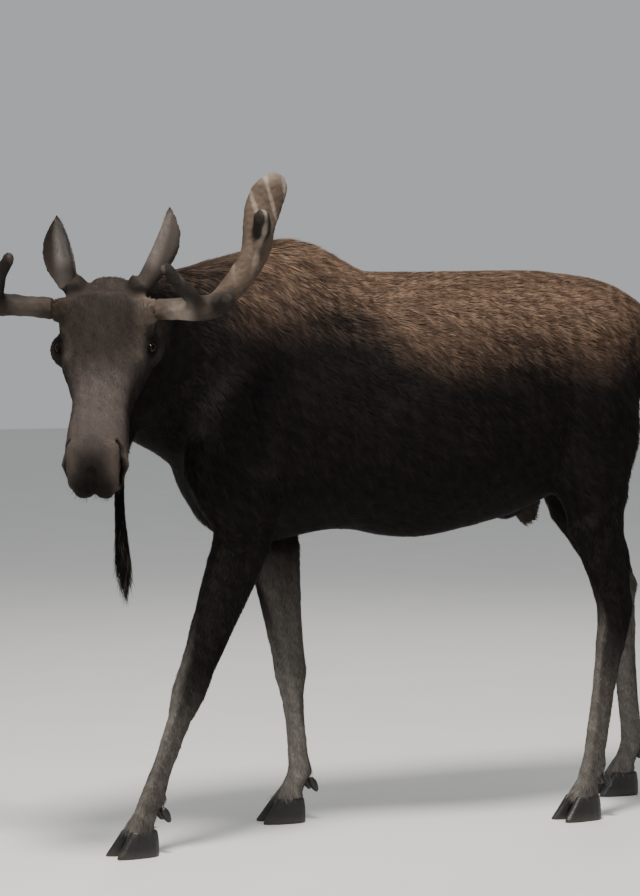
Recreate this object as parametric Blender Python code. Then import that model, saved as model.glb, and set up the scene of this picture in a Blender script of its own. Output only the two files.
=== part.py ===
"""A young bull moose in summer coat, antlers in velvet, walking with its head turned to its left. Life size.

The flesh is modelled whole: lofted tubes for the trunk, neck, head and limbs, and tapered muscles laid over
them, all fused by a voxel remesh, relaxed, and then parted into named pieces by thin cuts. Ears, eyes, bell,
antlers, hooves and dewclaws are pieces of their own that meet the flesh face to face.

Units are metres, +Z up. The animal faces -Y, its left side is +X, and the origin is on the floor under the
middle of its box.
"""

import math
from typing import NamedTuple

import bmesh
import bpy
import numpy as np
from mathutils import Matrix, Vector

# ---------------------------------------------------------------- driving dimensions

WITHERS_HEIGHT = 1.835  # top of the shoulder hump, coat included
CUT = 0.0004  # width of the thin cuts between pieces
CUT_TRIES = 8
CUT_NUDGE = Vector((0.0007, 0.0004, 0.0002))  # how far a cut moves for its next try
GAP = 0.0003  # clearance of a piece that sits in another
VOXEL = 0.006  # resolution at which the flesh is fused
RELAX_ROUNDS = 80  # smoothing rounds on the trunk; the limbs and head take a share of it
FLESH_FACES = 3560  # triangles left in the flesh after decimation
FOLDED = -0.35  # the cosine between two neighbouring faces past which they count as folded over
UNFOLD_ROUNDS = 30
TUBE_SIDES = 28

X_AXIS = Vector((1, 0, 0))
Y_AXIS = Vector((0, 1, 0))
UP = Vector((0, 0, 1))

# The head's own frame, from the poll: "nose" runs down the face, "crown" out of the forehead, and "left" to
# the left ear.
POLL = Vector((0.210, -0.778, 1.705))
HEAD_TURN = math.radians(58.0)  # from straight ahead towards the animal's left
HEAD_DROP = math.radians(62.0)  # of the nose below the level
HEAD_AHEAD = Vector((math.sin(HEAD_TURN), -math.cos(HEAD_TURN), 0))
HEAD_LEFT = Vector((math.cos(HEAD_TURN), math.sin(HEAD_TURN), 0))
HEAD_NOSE = HEAD_AHEAD * math.cos(HEAD_DROP) - UP * math.sin(HEAD_DROP)
HEAD_CROWN = HEAD_AHEAD * math.sin(HEAD_DROP) + UP * math.cos(HEAD_DROP)

BELL_ROOT = Vector((0.178, -0.727, 1.190))  # where the bell leaves the throat
EYE_RADIUS = 0.0195
EYE_PLACE = (0.196, 0.1300, -0.078)  # along the nose, to the side, towards the crown
PEDICLE_PLACE = (0.103, 0.150, -0.014)
EAR_PLACE = {1: (0.018, 0.104, -0.014), -1: (0.018, 0.118, -0.014)}  # of the left ear, and of the right
EAR_STUB = {1: 0.042, -1: 0.034}  # radius of the stub that the head holds out to each ear
EAR_ROOT_DEPTH = 0.045  # how far an ear's shell is drawn below its root before it is trimmed

CORONET_HEIGHT = 0.078  # where the hoof horn begins
HOOF_WIDTH = 0.056  # of one claw
HOOF_SPLAY = math.radians(5.0)


class Ring(NamedTuple):
    """A tube's cross-section: its centre, half width, reach above and below it, and how full each half is."""

    at: tuple
    side: float
    up: float
    down: float
    full_up: float = 2.0  # a superellipse's power: 2 is an ellipse, more is boxier, less is a ridge
    full_down: float = 2.0


class Leg(NamedTuple):
    """A leg's joints, and the way its hoof points, in degrees from straight ahead towards the left."""

    name: str
    side: int  # 1 is the animal's left, -1 its right
    top: tuple
    elbow: tuple  # elbow or stifle
    knee: tuple  # knee or hock
    fetlock: tuple
    toe_out: float


FORE_LEGS = (
    Leg(
        "front_left", 1,
        top=(0.185, -0.300, 1.120), elbow=(0.195, -0.352, 0.905),
        knee=(0.185, -0.512, 0.485), fetlock=(0.172, -0.630, 0.160), toe_out=6,
    ),
    Leg(
        "front_right", -1,
        top=(-0.185, -0.120, 1.120), elbow=(-0.195, -0.078, 0.905),
        knee=(-0.175, -0.022, 0.480), fetlock=(-0.165, 0.006, 0.158), toe_out=-6,
    ),
)
HIND_LEGS = (
    Leg(
        "hind_left", 1,
        top=(0.150, 0.850, 1.300), elbow=(0.195, 0.850, 1.020),
        knee=(0.185, 0.942, 0.640), fetlock=(0.178, 0.870, 0.165), toe_out=6,
    ),
    Leg(
        "hind_right", -1,
        top=(-0.150, 0.930, 1.300), elbow=(-0.190, 1.005, 1.020),
        knee=(-0.185, 1.180, 0.650), fetlock=(-0.178, 1.228, 0.175), toe_out=-6,
    ),
)


# ---------------------------------------------------------------- small tools


def mean(places):
    """The middle of these places."""
    places = list(places)
    return sum(places, Vector()) / len(places)


def mix(a, b, t):
    return a + (b - a) * t


def in_head(nose, left, crown):
    """A point of the head's own frame, in the world."""
    return POLL + HEAD_NOSE * nose + HEAD_LEFT * left + HEAD_CROWN * crown


def material(name, colour, roughness):
    """A plain Principled material."""
    made = bpy.data.materials.new(name)
    made.use_nodes = True
    shader = made.node_tree.nodes["Principled BSDF"]
    shader.inputs["Base Color"].default_value = (*colour, 1)
    shader.inputs["Roughness"].default_value = roughness
    return made


def object_of(name, points, faces, finish=None):
    """A mesh object from points and faces, linked to the scene."""
    mesh = bpy.data.meshes.new(name)
    mesh.from_pydata([tuple(p) for p in points], [], [tuple(f) for f in faces])
    made = bpy.data.objects.new(name, mesh)
    bpy.context.scene.collection.objects.link(made)
    if finish:
        mesh.materials.append(finish)
    return made


def remove(*objects):
    for each in objects:
        bpy.data.objects.remove(each)


def apply_modifiers(obj):
    """Replaces an object's mesh with what its modifiers make of it."""
    graph = bpy.context.evaluated_depsgraph_get()
    made = bpy.data.meshes.new_from_object(obj.evaluated_get(graph))
    obj.modifiers.clear()
    obj.data = made


def smooth_path(rows, per_span):
    """Rows of numbers, filled in by a Catmull-Rom curve with per_span steps between each two."""
    rows = np.array(rows, float)
    padded = np.vstack([2 * rows[0] - rows[1], rows, 2 * rows[-1] - rows[-2]])
    made = []
    for i in range(len(rows) - 1):
        before, start, end, after = padded[i : i + 4]
        for t in np.arange(per_span) / per_span:
            made.append(
                0.5
                * (
                    2 * start
                    + (end - before) * t
                    + (2 * before - 5 * start + 4 * end - after) * t**2
                    + (3 * start - before - 3 * end + after) * t**3
                )
            )
    made.append(rows[-1])
    return np.array(made)


def tube(rings, across=X_AXIS, per_span=4, sides=TUBE_SIDES, upright=False):
    """(points, faces) of a closed tube through these rings. across is about the direction of a ring's width.

    An upright tube's sections all stand upright, whichever way its middle line bends."""
    rows = smooth_path([[*r.at, r.side, r.up, r.down, r.full_up, r.full_down] for r in rings], per_span)
    ahead = np.gradient(rows[:, :3], axis=0)
    points = []
    for row, step in zip(rows, ahead):
        along = Y_AXIS if upright else Vector(step).normalized()
        width = (Vector(across) - along * along.dot(across)).normalized()
        height = width.cross(along)
        if height.z < 0 or (abs(height.z) < 0.2 and height.y > 0):
            height = -height
        centre = Vector(row[:3])
        for k in range(sides):
            turn = 2 * math.pi * k / sides
            c, s = math.cos(turn), math.sin(turn)
            power = 2 / (row[6] if s >= 0 else row[7])
            reach = row[4] if s >= 0 else row[5]
            x = math.copysign(abs(c) ** power, c) * row[3]
            z = math.copysign(abs(s) ** power, s) * reach
            points.append(centre + width * x + height * z)
    return points, tube_faces(len(rows), sides)


def tube_faces(rings, sides):
    """The quads between rings of points and the two end caps."""
    faces = []
    for i in range(rings - 1):
        for k in range(sides):
            a, b = i * sides + k, i * sides + (k + 1) % sides
            faces.append((a, b, b + sides, a + sides))
    faces.append(tuple(range(sides))[::-1])
    faces.append(tuple((rings - 1) * sides + k for k in range(sides)))
    return faces


def muscle(start, end, start_radius, end_radius, thin=1.0, across=X_AXIS, segments=24):
    """(points, faces) of a tapered spindle from start to end, thinner by thin in the direction across."""
    start, end = Vector(start), Vector(end)
    along = end - start
    axis = along.normalized()
    width = (Vector(across) - axis * axis.dot(across)).normalized()
    depth = axis.cross(width)
    ball = bmesh.new()
    bmesh.ops.create_uvsphere(ball, u_segments=segments, v_segments=segments * 2 // 3, radius=1)
    points = []
    for v in ball.verts:
        t = (v.co.z + 1) / 2
        r = mix(start_radius, end_radius, t)
        points.append(start + along * t + width * (v.co.x * r * thin) + depth * (v.co.y * r))
    faces = [tuple(v.index for v in f.verts) for f in ball.faces]
    ball.free()
    return points, faces


def facing_out(name, points, faces, finish=None):
    """An object whose faces all point outwards."""
    made = object_of(name, points, faces, finish)
    work = bmesh.new()
    work.from_mesh(made.data)
    bmesh.ops.recalc_face_normals(work, faces=work.faces)
    work.to_mesh(made.data)
    work.free()
    return made


def fused(name, shapes, voxel):
    """One closed surface round all these shapes."""
    points, faces = [], []
    for shape_points, shape_faces in shapes:
        faces += [tuple(i + len(points) for i in f) for f in shape_faces]
        points += list(shape_points)
    made = facing_out(name, points, faces)
    remesh = made.modifiers.new("fuse", "REMESH")
    remesh.mode = "VOXEL"
    remesh.voxel_size = voxel
    apply_modifiers(made)
    return made


def coordinates(mesh):
    found = np.empty(len(mesh.vertices) * 3, np.float32)
    mesh.vertices.foreach_get("co", found)
    return found.reshape(-1, 3).astype(float)


def relax(mesh, rounds, share):
    """Moves each vertex towards its neighbours' middle, rounds times, by half of its share."""
    place = coordinates(mesh)
    ends = np.empty(len(mesh.edges) * 2, np.int32)
    mesh.edges.foreach_get("vertices", ends)
    a, b = ends.reshape(-1, 2).T
    count = np.bincount(a, minlength=len(place)) + np.bincount(b, minlength=len(place))
    pull = 0.5 * share(place)[:, None]
    for _ in range(rounds):
        middle = np.empty_like(place)
        for axis in range(3):
            column = place[:, axis]
            middle[:, axis] = np.bincount(a, column[b], len(place)) + np.bincount(b, column[a], len(place))
        place += (middle / count[:, None] - place) * pull
    mesh.vertices.foreach_set("co", place.astype(np.float32).ravel())
    mesh.update()


def distance_to_path(place, path):
    """How far each place is from a line through these points."""
    nearest = np.full(len(place), np.inf)
    for a, b in zip(path[:-1], path[1:]):
        a, b = np.array(a, float), np.array(b, float)
        t = np.clip((place - a) @ (b - a) / ((b - a) @ (b - a)), 0, 1)
        nearest = np.minimum(nearest, np.linalg.norm(place - a - t[:, None] * (b - a), axis=1))
    return nearest


def press(mesh, path, radius, depth, direction=None):
    """Presses the surface near a path in by depth (out, if below zero), fading to nothing at radius."""
    place = coordinates(mesh)
    normals = np.empty(len(place) * 3, np.float32)
    mesh.vertices.foreach_get("normal", normals)
    normals = normals.reshape(-1, 3)
    near = np.clip(1 - distance_to_path(place, path) / radius, 0, 1)
    fade = (near * near * (3 - 2 * near))[:, None]
    way = -normals if direction is None else np.array(direction)
    mesh.vertices.foreach_set("co", (place + way * fade * depth).astype(np.float32).ravel())
    mesh.update()


def boolean(target, cutter, operation):
    """Cuts cutter out of target, or joins it on, and removes cutter."""
    step = target.modifiers.new(operation.lower(), "BOOLEAN")
    step.operation = operation
    step.solver = "EXACT"
    step.use_self = True
    step.object = cutter
    apply_modifiers(target)
    remove(cutter)


def loose_parts(obj):
    """[(points, faces)] of each separate surface of an object."""
    work = bmesh.new()
    work.from_mesh(obj.data)
    left, made = set(work.faces), []
    while left:
        island, edge = set(), [left.pop()]
        while edge:
            face = edge.pop()
            island.add(face)
            beside = {f for e in face.edges for f in e.link_faces} & left
            left -= beside
            edge += beside
        verts = sorted({v for f in island for v in f.verts}, key=lambda v: v.index)
        index = {v: i for i, v in enumerate(verts)}
        faces = [tuple(index[v] for v in f.verts) for f in sorted(island, key=lambda f: f.index)]
        made.append(([v.co.copy() for v in verts], faces))
    work.free()
    return made


def sheet(path, across, width):
    """(points, faces) of a thin sheet through a path: the space that a cut leaves between two pieces."""
    path = [Vector(p) for p in path]
    across = Vector(across).normalized()
    points = []
    for i, place in enumerate(path):
        along = path[min(i + 1, len(path) - 1)] - path[max(i - 1, 0)]
        half = along.cross(across).normalized() * CUT / 2
        for k, j in ((-1, -1), (-1, 1), (1, 1), (1, -1)):
            points.append(place + half * k + across * (width / 2 * j))
    return points, tube_faces(len(path), 4)


def slab(centre, normal, width, height, up=UP):
    """(points, faces) of a flat sheet, given by its centre and normal; height is measured towards up."""
    normal = Vector(normal).normalized()
    side = Vector(up).cross(normal).normalized()
    rise = normal.cross(side) * height / 2
    return sheet([Vector(centre) - rise, Vector(centre) + rise], side, width)


def keep_ahead(obj, place, normal, reach):
    """Cuts away what lies behind the plane through place, within reach of it."""
    normal = Vector(normal).normalized()
    side = normal.orthogonal().normalized()
    rise = normal.cross(side)
    points = [
        Vector(place) - normal * (reach * i) + side * (reach * j) + rise * (reach * k)
        for i in (0, 1)
        for j, k in ((-1, -1), (-1, 1), (1, 1), (1, -1))
    ]
    boolean(obj, facing_out("behind", points, tube_faces(2, 4)), "DIFFERENCE")


# ---------------------------------------------------------------- the flesh


def trunk_shapes():
    """The barrel, with the hump over the shoulders, the belly and the croup, and its muscles."""
    # y, top, bottom, height of the widest place, half width, fullness above
    stations = (
        (-0.488, 1.300, 1.130, 1.200, 0.060, 2.0),
        (-0.440, 1.500, 1.020, 1.210, 0.150, 2.0),
        (-0.365, 1.700, 0.945, 1.220, 0.200, 1.8),
        (-0.250, 1.812, 0.900, 1.230, 0.235, 1.6),
        (-0.120, WITHERS_HEIGHT + 0.008, 0.905, 1.240, 0.250, 1.6),
        (0.010, 1.806, 0.925, 1.230, 0.262, 1.6),
        (0.110, 1.752, 0.920, 1.220, 0.275, 1.7),
        (0.200, 1.737, 0.900, 1.215, 0.288, 1.8),
        (0.330, 1.737, 0.893, 1.210, 0.300, 1.9),
        (0.510, 1.740, 0.923, 1.220, 0.290, 1.9),
        (0.680, 1.745, 0.965, 1.260, 0.262, 1.9),
        (0.820, 1.740, 1.040, 1.330, 0.238, 1.9),
        (0.960, 1.718, 1.140, 1.400, 0.205, 1.9),
        (1.070, 1.680, 1.250, 1.450, 0.165, 2.0),
        (1.135, 1.630, 1.350, 1.480, 0.110, 2.0),
        (1.165, 1.560, 1.430, 1.490, 0.050, 2.0),
    )
    rings = [
        Ring((0, y, wide), half, top - wide, wide - low, full, 2.1)
        for y, top, low, wide, half, full in stations
    ]
    shapes = [tube(rings, upright=True)]
    for s in (1, -1):
        shapes += [
            muscle((s * 0.142, 0.60, 1.570), (s * 0.150, 0.76, 1.550), 0.062, 0.070),  # point of the hip
            muscle((s * 0.120, 0.76, 1.580), (s * 0.105, 1.08, 1.500), 0.130, 0.100),  # rump
            muscle((s * 0.205, 0.10, 1.300), (s * 0.150, 0.66, 1.150), 0.120, 0.120, 0.7),  # barrel side
        ]
    shapes.append(muscle((0, -0.44, 1.05), (0, -0.06, 0.97), 0.120, 0.115))  # brisket between the forelegs
    shapes.append(muscle((0, 0.600, 1.010), (0, 0.735, 0.990), 0.046, 0.040))  # sheath
    shapes.append(muscle((0, 0.970, 1.160), (0, 0.960, 1.010), 0.048, 0.050, 1.25))  # scrotum
    return shapes


def shoulder_shapes(leg):
    """Shoulder blade, point of the shoulder and upper arm of one side, following the foreleg's swing."""
    s = leg.side
    elbow = Vector(leg.elbow)
    swing = elbow.y + 0.21  # how far this elbow is from where it stands at rest
    blade_top = (s * 0.075, -0.060 + swing * 0.1, 1.690)
    point = Vector((s * 0.175, -0.400 + swing * 0.5, 1.200))
    return [
        muscle(blade_top, point, 0.085, 0.120, 0.75),
        muscle((s * 0.150, -0.080, 1.500), elbow + Vector((0, 0.070, 0.110)), 0.110, 0.085, 0.65),  # triceps
        muscle(point + Vector((0, -0.02, 0.06)), elbow + Vector((0, -0.01, 0.02)), 0.110, 0.080, 0.75),
        # Breast
        muscle((s * 0.080, -0.430, 1.220), elbow + Vector((-s * 0.03, -0.01, 0.04)), 0.092, 0.075, 0.9),
    ]


def neck_shapes():
    """The deep neck, bent to the left, and the loose throat."""
    rings = (
        Ring((0.000, -0.160, 1.430), 0.180, 0.370, 0.380, 1.7),
        Ring((0.000, -0.360, 1.430), 0.185, 0.348, 0.350, 1.8),
        Ring((0.020, -0.500, 1.445), 0.168, 0.305, 0.285, 1.9),
        Ring((0.085, -0.620, 1.465), 0.145, 0.262, 0.245, 2.0),
        Ring((0.165, -0.700, 1.475), 0.122, 0.222, 0.225, 2.0),
        Ring((0.215, -0.735, 1.475), 0.085, 0.165, 0.170, 2.0),
    )
    return [
        tube(rings),
        muscle((0.030, -0.560, 1.330), (0.150, -0.700, 1.340), 0.110, 0.090),  # throat
        muscle((0.165, -0.712, 1.330), (0.180, -0.729, 1.165), 0.055, 0.036),  # root of the bell
    ]


def head_shapes():
    """Skull and nose, lower jaw, cheeks, brows, nostrils, lips and the roots of antlers and ears."""

    def lofted(stations, full):
        rings = [
            Ring(tuple(in_head(along, 0, mid)), half, above, below, full, 2.1)
            for along, mid, half, above, below in stations
        ]
        return tube(rings, HEAD_LEFT)

    # along the nose, middle towards the crown, half width, reach to the crown side and to the jaw side
    skull = (
        (-0.030, -0.105, 0.055, 0.058, 0.060),
        (0.020, -0.105, 0.098, 0.092, 0.095),
        (0.095, -0.105, 0.118, 0.116, 0.100),
        (0.150, -0.106, 0.138, 0.112, 0.092),
        (0.205, -0.108, 0.144, 0.104, 0.082),
        (0.260, -0.110, 0.129, 0.092, 0.070),
        (0.310, -0.110, 0.108, 0.084, 0.062),
        (0.360, -0.109, 0.092, 0.084, 0.055),
        (0.410, -0.106, 0.087, 0.090, 0.050),
        (0.470, -0.102, 0.091, 0.095, 0.050),
        (0.530, -0.099, 0.092, 0.090, 0.056),
        (0.580, -0.104, 0.086, 0.074, 0.062),
        (0.622, -0.118, 0.073, 0.060, 0.056),
        (0.648, -0.130, 0.045, 0.034, 0.036),
    )
    jaw = (
        (0.030, -0.185, 0.062, 0.055, 0.045),
        (0.105, -0.200, 0.084, 0.060, 0.062),
        (0.210, -0.195, 0.080, 0.050, 0.052),
        (0.310, -0.178, 0.066, 0.040, 0.042),
        (0.410, -0.166, 0.056, 0.030, 0.036),
        (0.505, -0.164, 0.050, 0.024, 0.036),
        (0.565, -0.168, 0.036, 0.018, 0.024),
    )
    shapes = [lofted(skull, 2.5), lofted(jaw, 2.2)]
    ahead, left = HEAD_NOSE, HEAD_LEFT
    middle_forms = (
        ((0.044, -0.008), (0.140, -0.068), 0.086, 0.074, 1.50),  # crown
        ((0.560, -0.130), (0.634, -0.150), 0.048, 0.036, 1.60),  # upper lip
        ((0.500, -0.180), (0.575, -0.187), 0.030, 0.026, 1.30),  # chin
    )
    for (nose, crown), (to_nose, to_crown), radius, to_radius, wide in middle_forms:
        start, end = in_head(nose, 0, crown), in_head(to_nose, 0, to_crown)
        shapes.append(muscle(start, end, radius, to_radius, wide, left))
    for s in (1, -1):
        # From and to, along the nose, to the side and towards the crown; the radius at each end
        side_forms = (
            ((0.060, 0.084, -0.190), (0.250, 0.080, -0.130), 0.072, 0.050, 0.5),  # cheek
            ((0.160, 0.118, -0.049), (0.226, 0.114, -0.046), 0.037, 0.034, 1.0),  # brow
            ((0.158, 0.120, -0.106), (0.250, 0.110, -0.113), 0.032, 0.027, 1.0),  # lower rim of the eye
            ((0.085, 0.104, -0.118), (0.190, 0.116, -0.124), 0.038, 0.036, 1.0),  # cheek bone
            ((0.030, 0.090, -0.075), (0.196, 0.116, -0.085), 0.045, 0.040, 1.0),  # temple
            ((0.510, 0.062, -0.085), (0.606, 0.064, -0.100), 0.040, 0.036, 1.0),  # wing of the nostril
            ((0.530, 0.056, -0.130), (0.612, 0.048, -0.150), 0.036, 0.030, 1.0),  # corner of the lips
        )
        for (nose, side, crown), (to_nose, to_side, to_crown), radius, to_radius, thin in side_forms:
            start, end = in_head(nose, s * side, crown), in_head(to_nose, s * to_side, to_crown)
            shapes.append(muscle(start, end, radius, to_radius, thin, left))
        pedicle = Vector(PEDICLE_PLACE)
        inner = in_head(pedicle.x, s * 0.060, pedicle.z - 0.012)
        outer = in_head(pedicle.x, s * (pedicle.y + 0.040), pedicle.z)
        shapes.append(muscle(inner, outer, 0.046, 0.034, 1.0, ahead))
        ear_stub = ear_root(s) + ear_seat(s) * 0.035
        shapes.append(muscle(in_head(0.035, s * 0.070, -0.045), ear_stub, 0.046, EAR_STUB[s]))
    return shapes


def limb(points_and_radii):
    """A leg's tube: (place, half of its depth fore and aft, half of its width) at each station."""
    rings = [Ring(tuple(place), wide, deep, deep, 2.2, 2.2) for place, deep, wide in points_and_radii]
    return tube(rings, X_AXIS, 4, 22)


def pastern(leg):
    """Stations from the fetlock down to the top of the hoof."""
    fetlock = Vector(leg.fetlock)
    toe = toe_direction(leg)
    coronet = coronet_centre(leg)
    return [
        (fetlock, 0.041, 0.036),
        (mix(fetlock, coronet, 0.5), 0.037, 0.035),
        (coronet - UP * 0.006, 0.049, 0.050),
        (coronet + toe * 0.012 - UP * 0.030, 0.052, 0.050),
    ]


def fore_shapes(leg):
    """Forearm, knee, cannon and pastern."""
    top, elbow, knee, fetlock = (Vector(v) for v in leg[2:6])
    cannon = lambda t: mix(knee, fetlock, t)
    stations = [
        (top, 0.100, 0.070),
        (mix(top, elbow, 0.6), 0.105, 0.070),
        (mix(elbow, knee, 0.06), 0.093, 0.064),
        (mix(elbow, knee, 0.30), 0.082, 0.060),
        (mix(elbow, knee, 0.60), 0.069, 0.052),
        (mix(elbow, knee, 0.86), 0.058, 0.047),
        (knee, 0.058, 0.048),
        (cannon(0.14), 0.048, 0.042),
        (cannon(0.30), 0.039, 0.033),
        (cannon(0.60), 0.036, 0.030),
        (cannon(0.86), 0.037, 0.032),
    ]
    forward = Vector((0, -1, 0))
    return [
        limb(stations + pastern(leg)),
        # Elbow point
        muscle(elbow + Vector((0, 0.062, 0.055)), mix(elbow, knee, 0.25) + UP * 0.01, 0.050, 0.050, 0.8),
        # Front of the forearm
        muscle(
            mix(elbow, knee, 0.05) - Y_AXIS * 0.035,
            mix(elbow, knee, 0.65) - Y_AXIS * 0.018,
            0.058, 0.045, 0.9,
        ),
        # Knee cap
        muscle(mix(knee, elbow, 0.10) + forward * 0.014, cannon(0.10) + forward * 0.014, 0.042, 0.040, 1.05),
        muscle(knee + Y_AXIS * 0.036 + UP * 0.020, cannon(0.10) + Y_AXIS * 0.024, 0.026, 0.022, 1.1),
        muscle(cannon(0.92) + Y_AXIS * 0.016, fetlock + Y_AXIS * 0.014 - UP * 0.015, 0.030, 0.030, 1.15),
    ]


def hind_shapes(leg):
    """Thigh, gaskin, hock with its heel, cannon and pastern."""
    s = leg.side
    top, stifle, hock, fetlock = (Vector(v) for v in leg[2:6])
    cannon = lambda t: mix(hock, fetlock, t)
    heel = hock + Vector((0, 0.056, 0.066))
    stations = [
        (top, 0.130, 0.085),
        (mix(top, stifle, 0.6), 0.140, 0.085),
        (mix(stifle, hock, 0.08), 0.116, 0.074),
        (mix(stifle, hock, 0.34), 0.090, 0.062),
        (mix(stifle, hock, 0.62), 0.068, 0.050),
        (mix(stifle, hock, 0.86), 0.056, 0.044),
        (hock, 0.060, 0.046),
        (cannon(0.14), 0.056, 0.043),
        (cannon(0.32), 0.047, 0.034),
        (cannon(0.62), 0.041, 0.031),
        (cannon(0.88), 0.040, 0.033),
    ]
    seat = Vector((s * 0.120, 0.985 + (stifle.y - 0.850) * 0.3, 1.400))
    calf = mix(stifle, hock, 0.30) + Vector((0, 0.045, 0.030))
    return [
        limb(stations + pastern(leg)),
        # Thigh
        muscle(top + Vector((-s * 0.010, 0.01, 0.22)), stifle + Vector((0, 0.01, 0.02)), 0.170, 0.120, 0.72),
        muscle(seat, calf + Vector((0, -0.01, 0.06)), 0.115, 0.080, 0.85),  # back of the thigh
        # Flank fold
        muscle((s * 0.165, stifle.y - 0.140, 1.260), stifle + Vector((0, -0.03, 0.03)), 0.090, 0.085, 0.6),
        # Front of the stifle, running out down the gaskin
        muscle(stifle + Vector((0, -0.048, 0.035)), mix(stifle, hock, 0.50) - Y_AXIS * 0.010, 0.092, 0.052, 0.72),
        muscle(mix(seat, calf, 0.55), calf, 0.072, 0.060, 0.85),
        muscle(calf, heel + UP * 0.010, 0.052, 0.026, 0.8),  # the tendon to the heel
        muscle(heel + UP * 0.026, heel - UP * 0.085 - Y_AXIS * 0.018, 0.029, 0.030, 0.95),  # heel
        muscle(hock - Y_AXIS * 0.020 + UP * 0.05, cannon(0.12) - Y_AXIS * 0.012, 0.044, 0.040, 1.05),
        muscle(cannon(0.93) + Y_AXIS * 0.016, fetlock + Y_AXIS * 0.015 - UP * 0.012, 0.032, 0.032, 1.1),
    ]


def tail_shapes():
    """The short flat tail, hanging against the rump."""
    rings = (
        Ring((0, 1.080, 1.615), 0.045, 0.030, 0.030),
        Ring((0, 1.150, 1.588), 0.038, 0.024, 0.024),
        Ring((0, 1.192, 1.530), 0.034, 0.020, 0.020),
        Ring((0, 1.202, 1.470), 0.024, 0.015, 0.015),
        Ring((0, 1.200, 1.435), 0.008, 0.006, 0.006),
    )
    return [tube(rings, X_AXIS, 4, 16)]


def relax_share(place):
    """How much of the smoothing each place takes: all on the trunk, little on the head, legs and tail."""
    in_face = (place - np.array(POLL)) @ np.array(HEAD_NOSE)
    near_head = np.linalg.norm(place - np.array(in_head(0.15, 0, -0.10)), axis=1)
    head = np.clip((0.30 - near_head) / 0.10, 0, 1)
    head = np.maximum(head, ((in_face > 0.12) & (place[:, 1] < -0.62) & (place[:, 2] > 1.0)) * 1.0)
    low = np.clip((1.06 - place[:, 2]) / 0.16, 0, 1)
    small = np.clip((place[:, 1] - 1.08) / 0.06, 0, 1) * (np.abs(place[:, 0]) < 0.08)
    least = np.maximum.reduce([head * 0.95, low * 0.80, small * 0.85])
    return 1 - least


def sculpt_head(mesh):
    """The forms too fine for the fused shapes: nostrils, mouth, eye hollows and the grooves of the face."""
    for s in (1, -1):
        nostril = [
            in_head(0.540, s * 0.090, -0.052),
            in_head(0.575, s * 0.092, -0.076),
            in_head(0.602, s * 0.084, -0.096),
        ]
        press(mesh, nostril, 0.024, 0.016)
        mouth = [
            in_head(0.380, s * 0.066, -0.146),
            in_head(0.455, s * 0.064, -0.146),
            in_head(0.535, s * 0.056, -0.156),
            in_head(0.585, s * 0.034, -0.176),
        ]
        press(mesh, mouth, 0.018, 0.010)
        eye = Vector(EYE_PLACE)
        hollow = [in_head(eye.x + along, s * 0.150, eye.z) for along in (-0.008, 0.008)]
        press(mesh, hollow, 0.034, 0.003)
        tear = [in_head(eye.x + 0.045, s * 0.120, -0.085), in_head(eye.x + 0.085, s * 0.105, -0.092)]
        press(mesh, tear, 0.026, 0.005)
    # The groove of the upper lip
    press(mesh, [in_head(0.612, 0, -0.070), in_head(0.660, 0, -0.140)], 0.016, 0.005)


def decimated(obj, target):
    """Thins the mesh to about target triangles, keeping more of them on the head and the lower legs."""
    place = coordinates(obj.data)
    share = relax_share(place)
    group = obj.vertex_groups.new(name="coarse")
    for level in range(1, 11):
        low, high = (level - 1) / 10, level / 10
        members = np.nonzero((share > low) & (share <= high))[0]
        group.add([int(i) for i in members], level / 10, "REPLACE")
    step = obj.modifiers.new("thin", "DECIMATE")
    step.decimate_type = "COLLAPSE"
    step.vertex_group = "coarse"
    step.vertex_group_factor = 1.0
    step.ratio = target / (2 * len(obj.data.polygons))
    apply_modifiers(obj)
    unfold(obj.data)


def unfold(mesh):
    """Draws the corners of triangles folded over each other to their neighbours, until they lie flat."""
    work = bmesh.new()
    work.from_mesh(mesh)
    for _ in range(UNFOLD_ROUNDS):
        work.normal_update()
        folded = [e for e in work.edges if e.link_faces[0].normal.dot(e.link_faces[1].normal) < FOLDED]
        if not folded:
            break
        corners = sorted({v for e in folded for f in e.link_faces for v in f.verts}, key=lambda v: v.index)
        middles = [mean(e.other_vert(v).co for e in v.link_edges) for v in corners]
        for v, middle in zip(corners, middles):
            v.co = mix(v.co, middle, 0.4)
    work.to_mesh(mesh)
    work.free()


# ---------------------------------------------------------------- the cuts


def parting_cuts():
    """The thin sheets that divide the flesh, each across one place where a person would name a new part."""
    # along the nose and towards the crown: from behind the poll, round the angle of the jaw and on beneath it
    jaw_line = (
        (-0.110, 0.110), (-0.052, 0.000), (0.030, -0.160),
        (0.110, -0.282), (0.190, -0.272), (0.300, -0.236), (0.560, -0.232),
    )
    cuts = [
        sheet([(0, -0.250, 1.880), (0, -0.625, 1.080)], X_AXIS, 0.80),  # neck from trunk
        sheet([in_head(d, 0, c) for d, c in jaw_line], HEAD_LEFT, 0.56),  # head from neck
        # Tail from rump
        sheet([(0, 1.118, 1.680), (0, 1.140, 1.600), (0, 1.166, 1.520), (0, 1.176, 1.380)], X_AXIS, 0.14),
    ]
    for leg in FORE_LEGS:
        elbow, knee = Vector(leg.elbow), Vector(leg.knee)
        middle = elbow + Vector((leg.side * 0.02, 0.010, -0.005))
        cuts.append(slab(middle, (-leg.side * 0.30, 0, 1.0), 0.30, 0.36, Y_AXIS))
        cuts.append(slab(mix(knee, Vector(leg.fetlock), 0.02), elbow - knee, 0.20, 0.20, Y_AXIS))
    for leg in HIND_LEGS:
        stifle, hock = Vector(leg.elbow), Vector(leg.knee)
        middle = mix(stifle, hock, 0.02) + Vector((leg.side * 0.02, 0.070, 0.0))
        cuts.append(slab(middle, (-leg.side * 0.30, -0.45, 1.0), 0.32, 0.46, Y_AXIS))
        cannon = hock - Vector(leg.fetlock)
        cuts.append(slab(hock - cannon * 0.16, cannon, 0.20, 0.26, Y_AXIS))
    return cuts


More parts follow.
